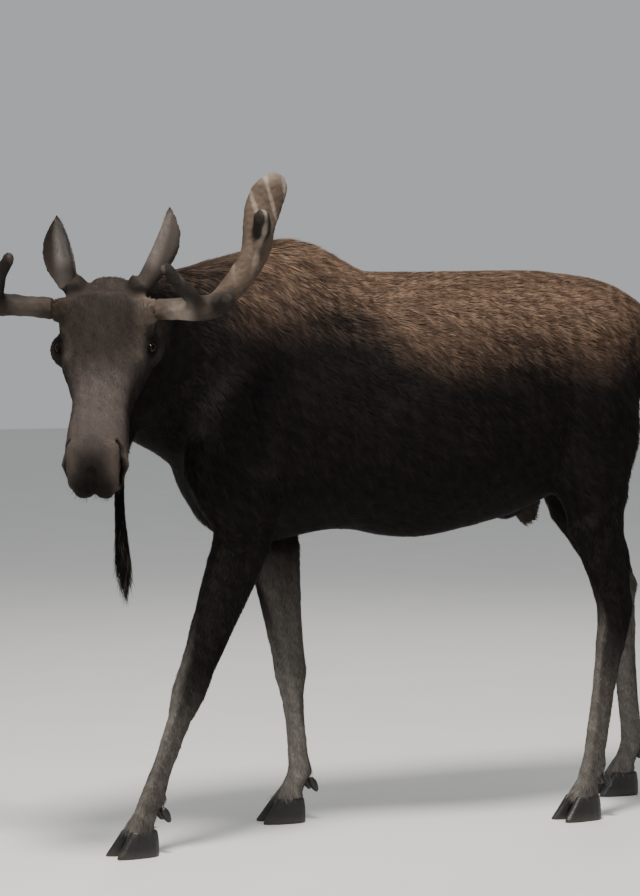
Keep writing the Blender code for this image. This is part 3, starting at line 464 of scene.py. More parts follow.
def shape_lids(mesh, s):
    points = points_of(mesh)
    offset = points - EYE[s]
    reach = lengths(offset)
    measure = opening_measure(points, s)
    close = reach < 3.2 * EYE_RADIUS
    lid = EYE_RADIUS + LID_THICKNESS * (1 - 0.25 * ramp(measure, 1.0, 1.5))
    blended = lid + (reach - lid) * ramp(measure, 1.25, LID_REACH)
    hollow = EYE_RADIUS - 0.004
    wanted = np.where(measure < 0.95, hollow, np.where(measure < LID_REACH, blended, reach))
    wanted = np.where(close, wanted, reach)
    crease = np.exp(-(((measure - 1.55) / 0.16) ** 2)) * 0.0014 * close
    move_to(mesh, EYE[s] + unit(offset) * (wanted - crease)[:, None])


NOSTRIL_ROUND = (
    (0.564, 0.091, -0.066), (0.582, 0.089, -0.080), (0.600, 0.084, -0.094), (0.610, 0.074, -0.108),
)
NOSTRIL_SLIT = (
    (0.516, 0.072, -0.032), (0.534, 0.082, -0.042), (0.556, 0.089, -0.058), (0.578, 0.091, -0.076),
)
MUZZLE_COLUMN = ((0.535, 0.060, -0.022), (0.585, 0.064, -0.042), (0.622, 0.058, -0.078))
MUZZLE_HOLLOW = ((0.545, 0.0, -0.004), (0.600, 0.0, -0.030), (0.640, 0.0, -0.080))
MOUTH = (
    (0.375, 0.070, -0.150), (0.455, 0.066, -0.148), (0.535, 0.058, -0.158), (0.588, 0.036, -0.178),
    (0.604, 0.0, -0.186),
)


def on_side(places, s):
    return [in_head(nose, s * left, crown) for nose, left, crown in places]


def laid(mesh, path):
    """A path near the skin brought onto it, with points between its own."""
    points = points_of(mesh)
    spans = zip(path, path[1:])
    dense = [start + (end - start) * t for start, end in spans for t in (0, 0.25, 0.5, 0.75)]
    on_skin = np.array([points[lengths(points - p).argmin()] for p in [*dense, path[-1]]])
    on_skin[1:-1] = (on_skin[:-2] + 2 * on_skin[1:-1] + on_skin[2:]) / 4
    return list(on_skin)


def sculpt_side(mesh, s, opening, damp):
    """Shapes one side of the face, and marks where it opens and where it is damp."""
    x, _, z = head_places(EYE[s][None])[0]

    def press(places, radius, height, towards=None):
        stroke(mesh, on_side(places, s), radius, height, towards)

    def by_eye(*places):
        return [(x + nose, left, z + crown) for nose, left, crown in places]

    raise_orbit(mesh, s)
    over = unit(LEFT * s * 0.55 + CROWN * 0.80)
    brow_end = (0.020, 0.120, 0.026)
    press(by_eye((-0.060, 0.108, 0.040), (-0.020, 0.122, 0.034), brow_end), 0.030, 0.0095, over)
    press(by_eye(brow_end, (0.060, 0.100, 0.022)), 0.024, 0.0045, over)
    # hollows below and behind the eye
    press(by_eye((0.038, 0.124, -0.030), (-0.022, 0.126, -0.036)), 0.016, -0.0028)
    press(by_eye((-0.048, 0.124, -0.004), (-0.060, 0.124, 0.004)), 0.022, -0.0045)
    shape_lids(mesh, s)
    # tear groove
    press(by_eye((0.036, 0.122, -0.010), (0.058, 0.116, -0.016)), 0.0075, -0.0045)
    # the bony ridge from the eye to the cheek, and the hollow before it
    press([(x + 0.055, 0.112, -0.128), (0.330, 0.096, -0.140)], 0.022, 0.0040)
    press([(0.290, 0.104, -0.085), (0.400, 0.088, -0.095)], 0.034, -0.0045)
    # edge of the jaw muscle
    press([(0.150, 0.090, -0.235), (0.235, 0.086, -0.200), (0.262, 0.092, -0.160)], 0.020, -0.0050)
    # veins
    fork = (0.345, 0.094, -0.118)
    press([(0.262, 0.112, -0.120), (0.300, 0.104, -0.128), fork, (0.395, 0.090, -0.126)], 0.0055, 0.0016)
    press([fork, (0.372, 0.086, -0.088), (0.420, 0.080, -0.066)], 0.0050, 0.0014)
    # wing of the nostril and upper lip, then their openings
    press(MUZZLE_COLUMN, 0.026, 0.0050)
    stroke(mesh, laid(mesh, on_side(NOSTRIL_SLIT[1:] + NOSTRIL_ROUND[2:], s)), 0.030, 0.0065)
    stroke(mesh, laid(mesh, on_side(MOUTH[1:], s)), 0.022, 0.0040)
    slit, hole, mouth = (laid(mesh, on_side(path, s)) for path in (NOSTRIL_SLIT, NOSTRIL_ROUND, MOUTH))
    deep = hole[5:]
    points = points_of(mesh)
    away = [distance_to_path(points, path) for path in (slit, hole, deep, mouth)]
    edges = ((0.0065, 0.0035), (0.0100, 0.0070), (0.0145, 0.0105), (0.0060, 0.0030))
    for distance, (outer, inner) in zip(away, edges):
        np.maximum(opening, ramp(distance, outer, inner), out=opening)
    to_slit, to_hole, _, to_mouth = away
    np.maximum(damp, ramp(to_slit, 0.015, 0.006) * 0.8, out=damp)
    np.maximum(damp, ramp(to_hole, 0.026, 0.014), out=damp)
    np.maximum(damp, ramp(to_mouth, 0.016, 0.006) * 0.7, out=damp)
    inwards = -LEFT * s * 0.80 - CROWN * 0.38 - NOSE * 0.30
    stroke(mesh, slit, 0.0085, 0.0080, inwards)
    stroke(mesh, hole, 0.0120, 0.0140, inwards)
    stroke(mesh, deep, 0.0160, 0.0180, inwards)
    stroke(mesh, mouth, 0.0095, -0.0110)
    for fold in range(4):
        along = 0.392 + fold * 0.017
        press([(along, 0.078, -0.118), (along + 0.010, 0.072, -0.140)], 0.0050, -0.0016)
    for fold in range(5):
        along = 0.505 + fold * 0.016
        press([(along, 0.020, -0.006), (along + 0.012, 0.062, -0.022)], 0.0060, -0.0011)


def sculpt_middle(mesh):
    """The hollow between the nostrils, the upper lip's furrow and lobes, the forehead and the bridge."""
    stroke(mesh, on_side(MUZZLE_HOLLOW, 1), 0.044, -0.0080)
    furrow = [(0.600, 0, -0.060), (0.645, 0, -0.110), (0.650, 0, -0.150), (0.630, 0, -0.180)]
    stroke(mesh, laid(mesh, on_side(furrow, 1)), 0.020, -0.0085)
    for s in EYE:
        stroke(mesh, laid(mesh, on_side([(0.625, 0.032, -0.090), (0.640, 0.034, -0.150)], s)), 0.026, 0.0035)
    # the forehead runs up under the crown without a step
    forehead = [(0.195, -0.070, -0.01), (0.190, 0, 0.0), (0.195, 0.070, -0.01)]
    stroke(mesh, on_side(forehead, 1), 0.050, 0.0110, CROWN)
    n, l, c = head_places(points_of(mesh)).T
    along = ramp(n, 0.080, 0.115) * ramp(n, 0.250, 0.215)
    soften(mesh, along * ramp(np.abs(l), 0.122, 0.098) * ramp(c, -0.075, -0.050), 320)
    stroke(mesh, on_side([(0.300, 0, -0.010), (0.400, 0, -0.040)], 1), 0.040, 0.0025)


def sculpt(mesh):
    """Brows, lids, nostrils, mouth, and the folds and veins of the face; then the sheath's tip."""
    opening, damp = np.zeros((2, len(mesh.vertices)))
    for s in EYE:
        sculpt_side(mesh, s, opening, damp)
    sculpt_middle(mesh)
    sheath = laid(mesh, [np.array((BODY_MIDDLE, at, 0.985)) for at in SHEATH])
    stroke(mesh, sheath, 0.060, 0.016, -UP)
    stroke(mesh, sheath[-2:], 0.048, 0.050, -UP)
    set_attribute(mesh, "Opening", "FLOAT", opening)
    set_attribute(mesh, "Damp", "FLOAT", damp)


BODY_TRIANGLES = 140000  # left on the skin behind the head


def thinned(obj, target):
    """Fewer faces on the body; the head keeps all of its own."""
    places = head_places(points_of(obj.data))
    beyond = np.maximum(np.abs(places[:, 1]) - 0.17, -0.02 - places[:, 0])
    weight = ramp(beyond, 0.0, 0.12)
    group = obj.vertex_groups.new(name="body")
    for level in range(1, 11):
        chosen = np.nonzero(np.ceil(weight * 10).astype(int) == level)[0]
        if len(chosen):
            group.add(chosen.tolist(), level / 10, "REPLACE")
    triangles = triangles_of(obj.data)
    spared = int((weight[triangles].max(axis=1) < 0.05).sum())
    step = obj.modifiers.new("thin", "DECIMATE")
    step.ratio = min(1.0, (spared + target) / len(triangles))
    step.vertex_group = group.name
    applied(obj)
    obj.vertex_groups.clear()


def make_skin():
    """The fused flesh, smoothed, drawn in by the coat's depth, and sculpted."""
    made = fused_flesh()
    mesh = made.data
    shares = region_shares(mesh, 12)
    smoothed(mesh, shares)
    depth = by_region(shares, "depth")
    move_to(mesh, points_of(mesh) - normals_of(mesh) * depth[:, None])
    points = points_of(mesh)
    n, l, c = head_places(points).T
    muzzle = (np.abs(l) < 0.16) & (n > 0.51) & (n < 0.70) & (np.abs(c + 0.1) < 0.16)
    subdivided(made, muzzle | (gap(points, EYE.values()) < 0.048))
    points = points_of(made.data)
    nostrils = np.minimum(*(distance_to_path(points, on_side(NOSTRIL_SLIT + NOSTRIL_ROUND, s)) for s in EYE))
    subdivided(made, (gap(points, EYE.values()) < 0.042) | (nostrils < 0.026))
    sculpt(made.data)
    thinned(made, BODY_TRIANGLES)
    return made


# ---------------------------------------------------------------- markings

# painted shade on the velvet: its undersides, its tines, the right beam and the skin round the right pedicle
VELVET_SHADE = np.array((0.0115, 0.0094, 0.0084))
VELVET = np.array((0.078, 0.055, 0.040))
VELVET_PALE = np.array((0.250, 0.205, 0.168))


class Colours:
    """Linear colours of the coat."""

    flank = np.array((0.0066, 0.0058, 0.0058))
    back = np.array((0.088, 0.056, 0.039))
    belly = np.array((0.0047, 0.0042, 0.0042))
    rump = np.array((0.026, 0.021, 0.018))
    neck = np.array((0.0082, 0.0072, 0.0071))
    crest = np.array((0.066, 0.044, 0.034))
    face = np.array((0.036, 0.0290, 0.0255))
    bridge = np.array((0.082, 0.066, 0.061))
    brow = np.array((0.062, 0.052, 0.043))
    muzzle = np.array((0.088, 0.070, 0.058))
    lip = np.array((0.0110, 0.0090, 0.0082))
    dark = np.array((0.006, 0.005, 0.005))
    ear_back = np.array((0.170, 0.144, 0.128))
    ear_inside = np.array((0.170, 0.150, 0.138))
    ear_edge = np.array((0.030, 0.024, 0.021))
    leg = np.array((0.0086, 0.0076, 0.0074))
    leg_pale = np.array((0.230, 0.208, 0.186))
    pale_tip = np.array((0.300, 0.200, 0.135))
    bell_tip = np.array((0.120, 0.092, 0.074))


def waves(points, scale, seed):
    """Smooth noise from -1 to 1, its lumps about scale across."""
    draw = np.random.default_rng(seed)
    total = np.zeros(len(points))
    for _ in range(7):
        way = draw.normal(size=3)
        way *= 2 * math.pi / (scale * 2.2) * draw.uniform(0.6, 1.6) / np.linalg.norm(way)
        total += np.sin(points @ way + draw.uniform(0, 2 * math.pi))
    return np.clip(total / 3.2, -1, 1)


def mixed(first, second, share):
    share = np.asarray(share)[:, None]
    return first * (1 - share) + second * share


def trunk_marking(points, blotch):
    """Near-black flanks under a brown back, a greyer rump and a paler sheath."""
    height = points[:, 2]
    ridge = 1.46 + 0.16 * ramp(points[:, 1], 0.30, -0.20)  # the paler back begins higher over the shoulders
    colour = mixed(Colours.flank, Colours.back, ramp(height + 0.045 * blotch - ridge, -0.10, 0.20))
    colour = mixed(colour, Colours.belly, ramp(height, 1.02, 0.86))
    colour = mixed(colour, Colours.rump, ramp(points[:, 1], 0.88, 1.10) * ramp(height, 1.30, 1.10) * 0.8)
    sheath = lengths(points - (BODY_MIDDLE, SHEATH[1], 0.955))
    return mixed(colour, Colours.face, ramp(sheath, 0.085, 0.045) * 0.9)


def head_marking(points, neck, blotch, opening, damp):
    """A grey-brown face with a paler bridge, brows and muzzle, and dark cheeks and lips; painted shade
    darkens the sides of the face and fills the nostrils and the mouth's slit.
    """
    n, l, c = head_places(points).T
    side = np.abs(l)
    colour = np.tile(Colours.face, (len(points), 1))
    for tint, share in (
        (neck, np.maximum(ramp(c, -0.10, -0.17) * ramp(n, 0.55, 0.40), ramp(n, 0.035, -0.060))),
        # painted shade on the sides of the face
        (neck, ramp(c, -0.050, -0.125) * ramp(n, 0.16, 0.26) * ramp(n, 0.54, 0.42) * 0.7),
        (Colours.bridge, ramp(n, 0.22, 0.36) * ramp(n, 0.60, 0.52) * ramp(c, -0.085, -0.035)),
        (Colours.muzzle, ramp(n, 0.45, 0.55) * ramp(side, 0.020, 0.070) * ramp(c, -0.175, -0.110) * 0.9),
        (Colours.lip, ramp(n + 0.010 * blotch, 0.500, 0.610) * ramp(side, 0.074, 0.010) * 0.85),
        (Colours.lip, ramp(n, 0.595, 0.640) * ramp(side, 0.085, 0.040) * 0.85),
    ):
        colour = mixed(colour, tint, share)
    for s in EYE:
        x, _, z = head_places(EYE[s][None])[0]
        brow = on_side([(x - 0.070, 0.115, z + 0.050), (x + 0.050, 0.118, z + 0.036)], s)
        colour = mixed(colour, Colours.brow, ramp(distance_to_path(points, brow), 0.050, 0.008) * 0.9)
        near_eye = lengths(points - EYE[s]) < 0.05
        measure = opening_measure(points, s)
        colour = mixed(colour, Colours.lip, ramp(measure, 2.0, 1.25) * near_eye)
        colour = mixed(colour, Colours.dark, ramp(measure, 1.25, 1.02) * near_eye)
        pedicle = distance_to_path(points, on_side([(0.103, 0.085, -0.014), (0.103, 0.200, -0.014)], s))
        # the velvet's colour runs onto the skin round each pedicle: paler on the left, partly a painted sky
        # reflection, and darker on the right, painted shade
        pale = VELVET_PALE if s > 0 else VELVET_SHADE
        at_pedicle = ramp(pedicle, 0.060, 0.040) * ramp(l * s, 0.078, 0.128)
        colour = mixed(colour, (pale + VELVET) * 0.4, at_pedicle * 0.8)
    # painted shade: the insides of the nostrils and the mouth's slit are near-black
    return mixed(mixed(colour, Colours.lip, damp * 0.8), Colours.dark, opening)


def ear_marking(points, normals):
    """A pale ear with dark edges, which runs into the face at its foot."""
    inside = ear_inside(points, normals)
    colour = mixed(np.tile(Colours.ear_back, (len(points), 1)), Colours.ear_inside, inside)
    colour = mixed(colour, Colours.ear_edge, ear_rim(points) * (0.75 + 0.25 * inside))
    return mixed(colour, Colours.face, ramp(gap(points, EAR_FEET), 0.085, 0.035) * 0.8)


def leg_marking(points, normals, blotch):
    """Near-black legs, paler below the knees and hocks, and most so in front and inside; the extra paleness
    in front is painted light.
    """
    height = points[:, 2]
    inward = -normals[:, 0] * np.sign(points[:, 0] - BODY_MIDDLE)
    # painted light: the pale is stronger in front and reaches higher there
    ahead = ramp(0.6 * inward - normals[:, 1], -0.2, 0.8)
    pale = ramp(height + 0.05 * blotch - 0.14 * ahead, 0.62, 0.24) * (0.50 + 0.50 * ahead)
    inner = ramp(inward, 0.1, 0.9) * ramp(height, 0.98, 0.60) * 0.55
    pale = np.maximum(pale * ramp(height, 0.02, 0.12), inner)
    return mixed(Colours.leg, Colours.leg_pale, pale * (0.82 + 0.18 * blotch))


def marking(points, normals, shares, opening, damp):
    """The coat's own colour at each place, before the tufts vary it."""
    blotch = waves(points, 0.22, 3)
    neck = mixed(Colours.neck, Colours.crest, ramp(points[:, 2] + 0.04 * blotch, 1.62, 1.84))
    leg = leg_marking(points, normals, blotch)
    tints = {
        "trunk": trunk_marking(points, blotch),
        "neck": neck,
        "head": head_marking(points, neck, blotch, opening, damp),
        "ear": ear_marking(points, normals),
        "upper": leg,
        "lower": leg,
        "bell": Colours.belly,
        "tail": (Colours.rump + Colours.back) / 2,
    }
    return sum(tint * share_of(shares, region)[:, None] for region, tint in tints.items())


def ear_of(points):
    """Which ear each point is nearer to: 1 for the left."""
    left, right = (lengths(points - middle(node)) for node in ("ear_left", "ear_right"))
    return np.where(left < right, 1, -1)


EAR_OPENING = {1: unit(LEFT * 0.55 - AHEAD * 0.85), -1: unit(AHEAD - LEFT * 0.20)}


def ear_inside(points, normals):
    """One on the hollow side of an ear, none on its back."""
    which = ear_of(points)
    facing = np.where(which == 1, normals @ EAR_OPENING[1], normals @ EAR_OPENING[-1])
    return ramp(facing, 0.0, 0.45)


def ear_shape(s):
    """An ear's foot, the way and length to its tip, and the line across its opening with half its width."""
    points = np.array(node_arrays(["ear_left" if s > 0 else "ear_right"])[0])
    tip = points[points[:, 2].argmax()]
    foot = points[points[:, 2] < points[:, 2].min() + 0.05].mean(axis=0)
    axis = unit(tip - foot)
    across = unit(np.cross(axis, EAR_OPENING[s]))
    reach = (points - foot) @ across
    return foot, axis, float((tip - foot) @ axis), across, float(np.percentile(np.abs(reach), 96))


EAR_SHAPE = {s: ear_shape(s) for s in EYE}
EAR_FEET = [EAR_SHAPE[s][0] for s in EYE]


def ear_rim(points):
    """One along an ear's edges, broadly on the outer one, and at its tip; none in the middle of it."""
    rim = np.zeros(len(points))
    which = ear_of(points)
    for s in EYE:
        foot, axis, length, across, half = EAR_SHAPE[s]
        along = (points - foot) @ axis / length
        wide = half * np.interp(along, (0.0, 0.4, 0.7, 0.85, 0.94, 1.0), (0.95, 1.0, 0.84, 0.55, 0.30, 0.09))
        share = (points - foot) @ across / wide
        edge = np.maximum.reduce([ramp(-share, 0.25, 0.80), ramp(share, 0.78, 0.96), ramp(along, 0.84, 0.96)])
        rim = np.where(which == s, edge, rim)
    return rim


# ---------------------------------------------------------------- lie of the coat


def head_lie(points, ear):
    """Back from the nose, out along the pedicles, and along the ears at their feet."""
    n, l, c = head_places(points).T
    side = np.sign(l)
    aside = LEFT * (side * 0.10 * ramp(n, 0.5, 0.2))[:, None]
    way = -NOSE + aside - CROWN * (0.55 * ramp(c, -0.05, -0.17))[:, None]
    pedicle = ramp(np.abs(l), 0.115, 0.150) * ramp(n, 0.175, 0.150) * ramp(c, -0.085, -0.060)
    way = mixed(way, -NOSE - AHEAD * 0.6, ramp(n, 0.10, 0.0))
    way = mixed(way, LEFT * side[:, None], pedicle)
    return mixed(way, ear, ramp(gap(points, EAR_FEET), 0.080, 0.045))


def lie(points, normals, shares):
    """The way the hair points at each place, along the skin."""
    height = points[:, 2]
    down = 0.25 + 0.75 * ramp(height, 1.75, 1.30) - 0.55 * ramp(height, 1.10, 0.86)
    trunk = unit(np.stack([np.zeros(len(points)), np.ones(len(points)), -down], axis=1))
    trunk = mixed(trunk, np.array((0, 0.35, -1.0)), 0.5 * ramp(points[:, 1], 0.10, -0.25))
    neck = unit(np.array((-0.25, 0.75, -0.75)))
    down_leg = np.array((0, 0.05, -1.0))
    ear = np.zeros((len(points), 3))
    for s in EYE:
        foot, axis, length, _, _ = EAR_SHAPE[s]
        to_tip = unit(foot + axis * (1.06 * length) - points)
        along = mixed(axis, to_tip, ramp((points - foot) @ axis / length, 0.25, 0.55))
        ear = np.where((ear_of(points) == s)[:, None], along, ear)
    ways = {"trunk": trunk, "neck": neck, "head": head_lie(points, ear), "ear": ear}
    flow = sum(way * share_of(shares, region)[:, None] for region, way in ways.items())
    hanging = sum(share_of(shares, region) for region in ("upper", "lower", "bell", "tail"))
    flow = flow + down_leg * hanging[:, None]
    thigh = np.array((0, 0.5, -0.1)) * share_of(shares, "upper")[:, None]
    return flattened(flow + thigh * ramp(height, 0.9, 1.3)[:, None], normals)


# ---------------------------------------------------------------- tufts


class Roots(NamedTuple):
    """Where tufts grow, one row each."""

    place: np.ndarray
    normal: np.ndarray
    way: np.ndarray
    colour: np.ndarray
    values: dict


def scattered(points, triangles, density, columns):
    """Random places on a surface, density of them to the square metre, with each column's values there."""
    a, b, c = (points[triangles[:, i]] for i in range(3))
    area = lengths(np.cross(b - a, c - a)) / 2
    wanted = area * density[triangles].mean(axis=1)
    count = int(wanted.sum())
    drawn = random.uniform(0, wanted.sum(), count)
    chosen = np.searchsorted(np.cumsum(wanted), drawn).clip(0, len(triangles) - 1)
    first, second = random.random((2, count))
    over = first + second > 1
    first, second = np.where(over, 1 - first, first), np.where(over, 1 - second, second)
    weights = np.stack([1 - first - second, first, second], axis=1)
    corners = triangles[chosen]
    grown = {name: np.einsum("ij,ijk->ik", weights, column[corners]) for name, column in columns.items()}
    grown["normal"] = unit(grown["normal"])
    return grown


def turned(way, normal, angle):
    """The way, turned round the normal."""
    side = np.cross(normal, way)
    return way * np.cos(angle)[:, None] + side * np.sin(angle)[:, None]


BLADE_HALVES = (0.5, 0.46, 0.34, 0.2)  # half widths from the root on, as shares of the width
BURIED = 0.0008  # how deep a blade's root lies in the skin
ROUNDNESS = 0.3  # how far the normals of a blade's two edges lean apart
PATCH_HALF, PATCH_STEPS = 0.0011, (0.0, 0.0012, 0.0022, 0.0030)  # a tuft's patch on the bake map


def tufts(
    name, roots, length, width, lift, stations=3, root_dark=0.62, tip_pale=0.0, tip_colour=Colours.pale_tip
):
    """One mesh of tapered blades that leave the skin, bend over and lie along it."""
    count = len(roots.place)
    side = unit(np.cross(roots.normal, roots.way))
    tone = roots.values["tone"][:, None]
    steps = [i / (stations - 1) for i in range(stations)]
    lines = []
    for t in steps:
        rise = (1 - (1 - t) ** 1.5) * lift
        line = roots.place + roots.way * (length * t)[:, None] + roots.normal * (rise - BURIED)[:, None]
        lines.append(line + side * (roots.values["curl"] * length * t * t)[:, None])
    rows = []
    for i, (t, line) in enumerate(zip(steps, lines)):
        along = unit(lines[min(i + 1, stations - 1)] - lines[max(i - 1, 0)])
        facing = flattened(roots.normal, along)
        shade = root_dark + (1 - root_dark) * min(1.0, t * 1.4)
        colour = roots.colour * (shade * tone)
        if np.any(tip_pale):
            colour = mixed(colour, tip_colour * tone, roots.values["pale"] * tip_pale * t)
        if t < 1:
            half = side * (width * BLADE_HALVES[i])[:, None]
            rows.append((line - half, colour, facing - side * ROUNDNESS))
            rows.append((line + half, colour, facing + side * ROUNDNESS))
        else:
            rows.append((line, colour, facing))
    per = len(rows)
    points, colours, normals = (np.stack(column, axis=1) for column in zip(*rows))
    cells = []
    for i in range(0, per - 3, 2):
        cells += [(i, i + 3, i + 1), (i, i + 2, i + 3)]
    cells.append((per - 3, per - 1, per - 2))
    faces = (np.arange(count)[:, None, None] * per + np.array(cells)[None]).reshape(-1, 3)
    made = triangle_object(name, points.reshape(-1, 3), faces)
    paint(made.data, colours.reshape(-1, 3))
    made.data.normals_split_custom_set_from_vertices(unit(normals).reshape(-1, 3).astype(np.float32))
    patch = [(across, up) for up in PATCH_STEPS[: stations - 1] for across in (0.0, 2 * PATCH_HALF)]
    patch = np.array([*patch, (PATCH_HALF, PATCH_STEPS[-1])])
    places = (roots.values["bake"][:, None, :] + patch[None]).reshape(-1, 2)
    layer = made.data.uv_layers.new(name="OFBake")
    layer.data.foreach_set("uv", places[faces.ravel()].astype(np.float32).ravel())
    return made


def triangle_object(name, points, faces):
    """An object from arrays, every face a triangle."""
    mesh = bpy.data.meshes.new(name)
    mesh.vertices.add(len(points))
    mesh.vertices.foreach_set("co", points.astype(np.float32).ravel())
    mesh.loops.add(len(faces) * 3)
    mesh.loops.foreach_set("vertex_index", faces.astype(np.int32).ravel())
    mesh.polygons.add(len(faces))
    mesh.polygons.foreach_set("loop_start", np.arange(0, len(faces) * 3, 3, dtype=np.int32))
    mesh.update(calc_edges=True)
    mesh.shade_smooth()
    return placed(name, mesh)


class BakeMap:
    """An unwrap of a surface, to give each tuft its place on it."""

    FACES = 16000

    def __init__(self, obj):
        proxy = placed("unwrap", obj.data.copy())
        step = proxy.modifiers.new("thin", "DECIMATE")
        step.ratio = min(1.0, self.FACES / len(triangles_of(proxy.data)))
        applied(proxy)
        bpy.context.view_layer.objects.active = proxy
        for other in bpy.context.selected_objects:
            other.select_set(False)
        proxy.select_set(True)
        bpy.ops.object.mode_set(mode="EDIT")
        bpy.ops.mesh.select_all(action="SELECT")
        bpy.ops.mesh.quads_convert_to_tris()
        bpy.ops.uv.smart_project(angle_limit=math.radians(66), island_margin=0.002)
        bpy.ops.object.mode_set(mode="OBJECT")
        mesh = proxy.data
        self.points = points_of(mesh)
        self.faces = read(mesh.loops, "vertex_index", 1, np.int32).reshape(-1, 3)
        self.uv = read(mesh.uv_layers.active.data, "uv", 2).reshape(-1, 3, 2).astype(float)
        self.tree = BVHTree.FromPolygons([Vector(p) for p in self.points], self.faces.tolist())
        bpy.data.objects.remove(proxy)

    def places(self, points):
        found = nearest_faces(self.tree, points)
        a, b, c = (self.points[self.faces[found, i]] for i in range(3))
        whole = np.cross(b - a, c - a)
        size = np.maximum(np.sum(whole * whole, axis=1), 1e-18)
        second = np.sum(np.cross(points - a, c - a) * whole, axis=1) / size
        third = np.sum(np.cross(b - a, points - a) * whole, axis=1) / size
        weights = np.clip(np.stack([1 - second - third, second, third], axis=1), 0, 1)
        weights /= weights.sum(axis=1, keepdims=True)
        return np.einsum("ij,ijk->ik", weights, self.uv[found])


def varied(places, spread, unwrap, fine=0.014):
    """Tone, curl, pale share and bake place of each tuft: neighbours in a lock are alike."""
    count = len(places)
    lock = waves(places, fine, 5)
    return {
        "tone": np.clip(1 + spread * (0.6 * lock + random.normal(0, 0.55, count)), 0.35, 2.2),
        "curl": random.normal(0, 0.06, count) + 0.05 * waves(places, 0.03, 8),
        "pale": np.clip(0.35 + 0.5 * lock + random.normal(0, 0.35, count), 0, 1) ** 1.5,
        "bake": unwrap.places(places),
    }


# ---------------------------------------------------------------- materials


def fill(tree, node, inputs):
    """Links or sets a shader node's inputs."""
    for key, value in inputs.items():
        if isinstance(value, bpy.types.NodeSocket):
            tree.links.new(value, node.inputs[key])
        else:
            node.inputs[key].default_value = value


def add(tree, kind, inputs, **settings):
    """Makes a shader node and returns its outputs."""
    node = tree.nodes.new("ShaderNode" + kind)
    for key, value in settings.items():
        setattr(node, key, value)
    fill(tree, node, inputs)
    return node.outputs


def nodes_of(name, roughness, specular):
    """A new material, its node tree and its shader."""
    made = bpy.data.materials.new(name)
    made.use_nodes = True
    shader = made.node_tree.nodes["Principled BSDF"]
    fill(made.node_tree, shader, {"Roughness": roughness, "Specular IOR Level": specular})
    return made, made.node_tree, shader


def noise_node(tree, scale, detail=3.0):
    place = add(tree, "TexCoord", {})["Object"]
    return add(tree, "TexNoise", {"Vector": place, "Scale": scale, "Detail": detail})["Fac"]


def spread_node(tree, source, low, high, start=0.0, end=1.0):
    """What runs from start to end comes to run from low to high."""
    inputs = {"Value": source, "From Min": start, "From Max": end, "To Min": low, "To Max": high}
    return add(tree, "MapRange", inputs)["Result"]


def scaled_colour(tree, colour, factor):
    return add(tree, "VectorMath", {0: colour, "Scale": factor}, operation="SCALE")["Vector"]


def bumped(tree, height, strength, distance):
    return add(tree, "Bump", {"Height": height, "Strength": strength, "Distance": distance})["Normal"]


def shades(tree, source, stops):
    """The colour for a value, from the first stop to the last."""
    node = tree.nodes.new("ShaderNodeValToRGB")
    fill(tree, node, {"Fac": source})
    found = node.color_ramp.elements
    found[0].position, found[1].position = stops[0][0], stops[-1][0]
    for at, _ in stops[1:-1]:
        found.new(at)
    for element, (_, colour) in zip(found, stops):
        element.color = (*colour, 1)
    return node.outputs["Color"]


def painted_material(name, roughness, specular, grain, variation, bump=None):
    """A finish whose colour comes from the markings, with grain and bump of its own."""
    made, tree, shader = nodes_of(name, roughness, specular)
    fine = noise_node(tree, grain)
    colour = add(tree, "Attribute", {}, attribute_name="Coat")["Color"]
    fill(tree, shader, {
        "Base Color": scaled_colour(tree, colour, spread_node(tree, fine, 1 - variation, 1 + variation)),
        "Roughness": spread_node(tree, fine, roughness - 0.08, roughness + 0.08),
    })
    if bump:
        fill(tree, shader, {"Normal": bumped(tree, fine, *bump)})
    return made


# ---------------------------------------------------------------- skin and coat, built

HIDE_SHADE = 0.75  # painted shade: the hide under the tufts is darker than they are

skin = make_skin()
skin_mesh = skin.data
skin_points, skin_normals = points_of(skin_mesh), normals_of(skin_mesh)
skin_triangles = triangles_of(skin_mesh)
skin_shares = region_shares(skin_mesh, 6)
skin_opening, skin_damp = attribute_of(skin_mesh, "Opening"), attribute_of(skin_mesh, "Damp")
skin_colour = marking(skin_points, skin_normals, skin_shares, skin_opening, skin_damp)
skin_columns = {
    "place": skin_points, "normal": skin_normals, "colour": skin_colour, "shares": skin_shares,
    "way": lie(skin_points, skin_normals, skin_shares),
}
paint(skin_mesh, skin_colour * HIDE_SHADE)
dress(skin, painted_material("hide", 0.85, 0.05, 420.0, 0.30, (0.55, 0.0016)))
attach(skin, "root")
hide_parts(*FLESH)
bake_map = BakeMap(skin)

coat_material = painted_material("coat", 0.62, 0.06, 900.0, 0.16)


def bare_share():
    """For each vertex of the skin, one where no hair grows: in the eyes, the nostrils and the mouth."""
    bare = skin_opening > 0.25
    for s in EYE:
        far = lengths(skin_points - EYE[s])
        bare |= (opening_measure(skin_points, s) < 1.22) & (far < 0.05)
    return bare


skin_bare = bare_share()
PIECES = {
    "head": ("head",), "ears": ("ear",), "neck": ("neck", "bell"), "thighs": ("upper", "tail"),
    "shanks": ("lower",), "trunk": ("trunk",),
}


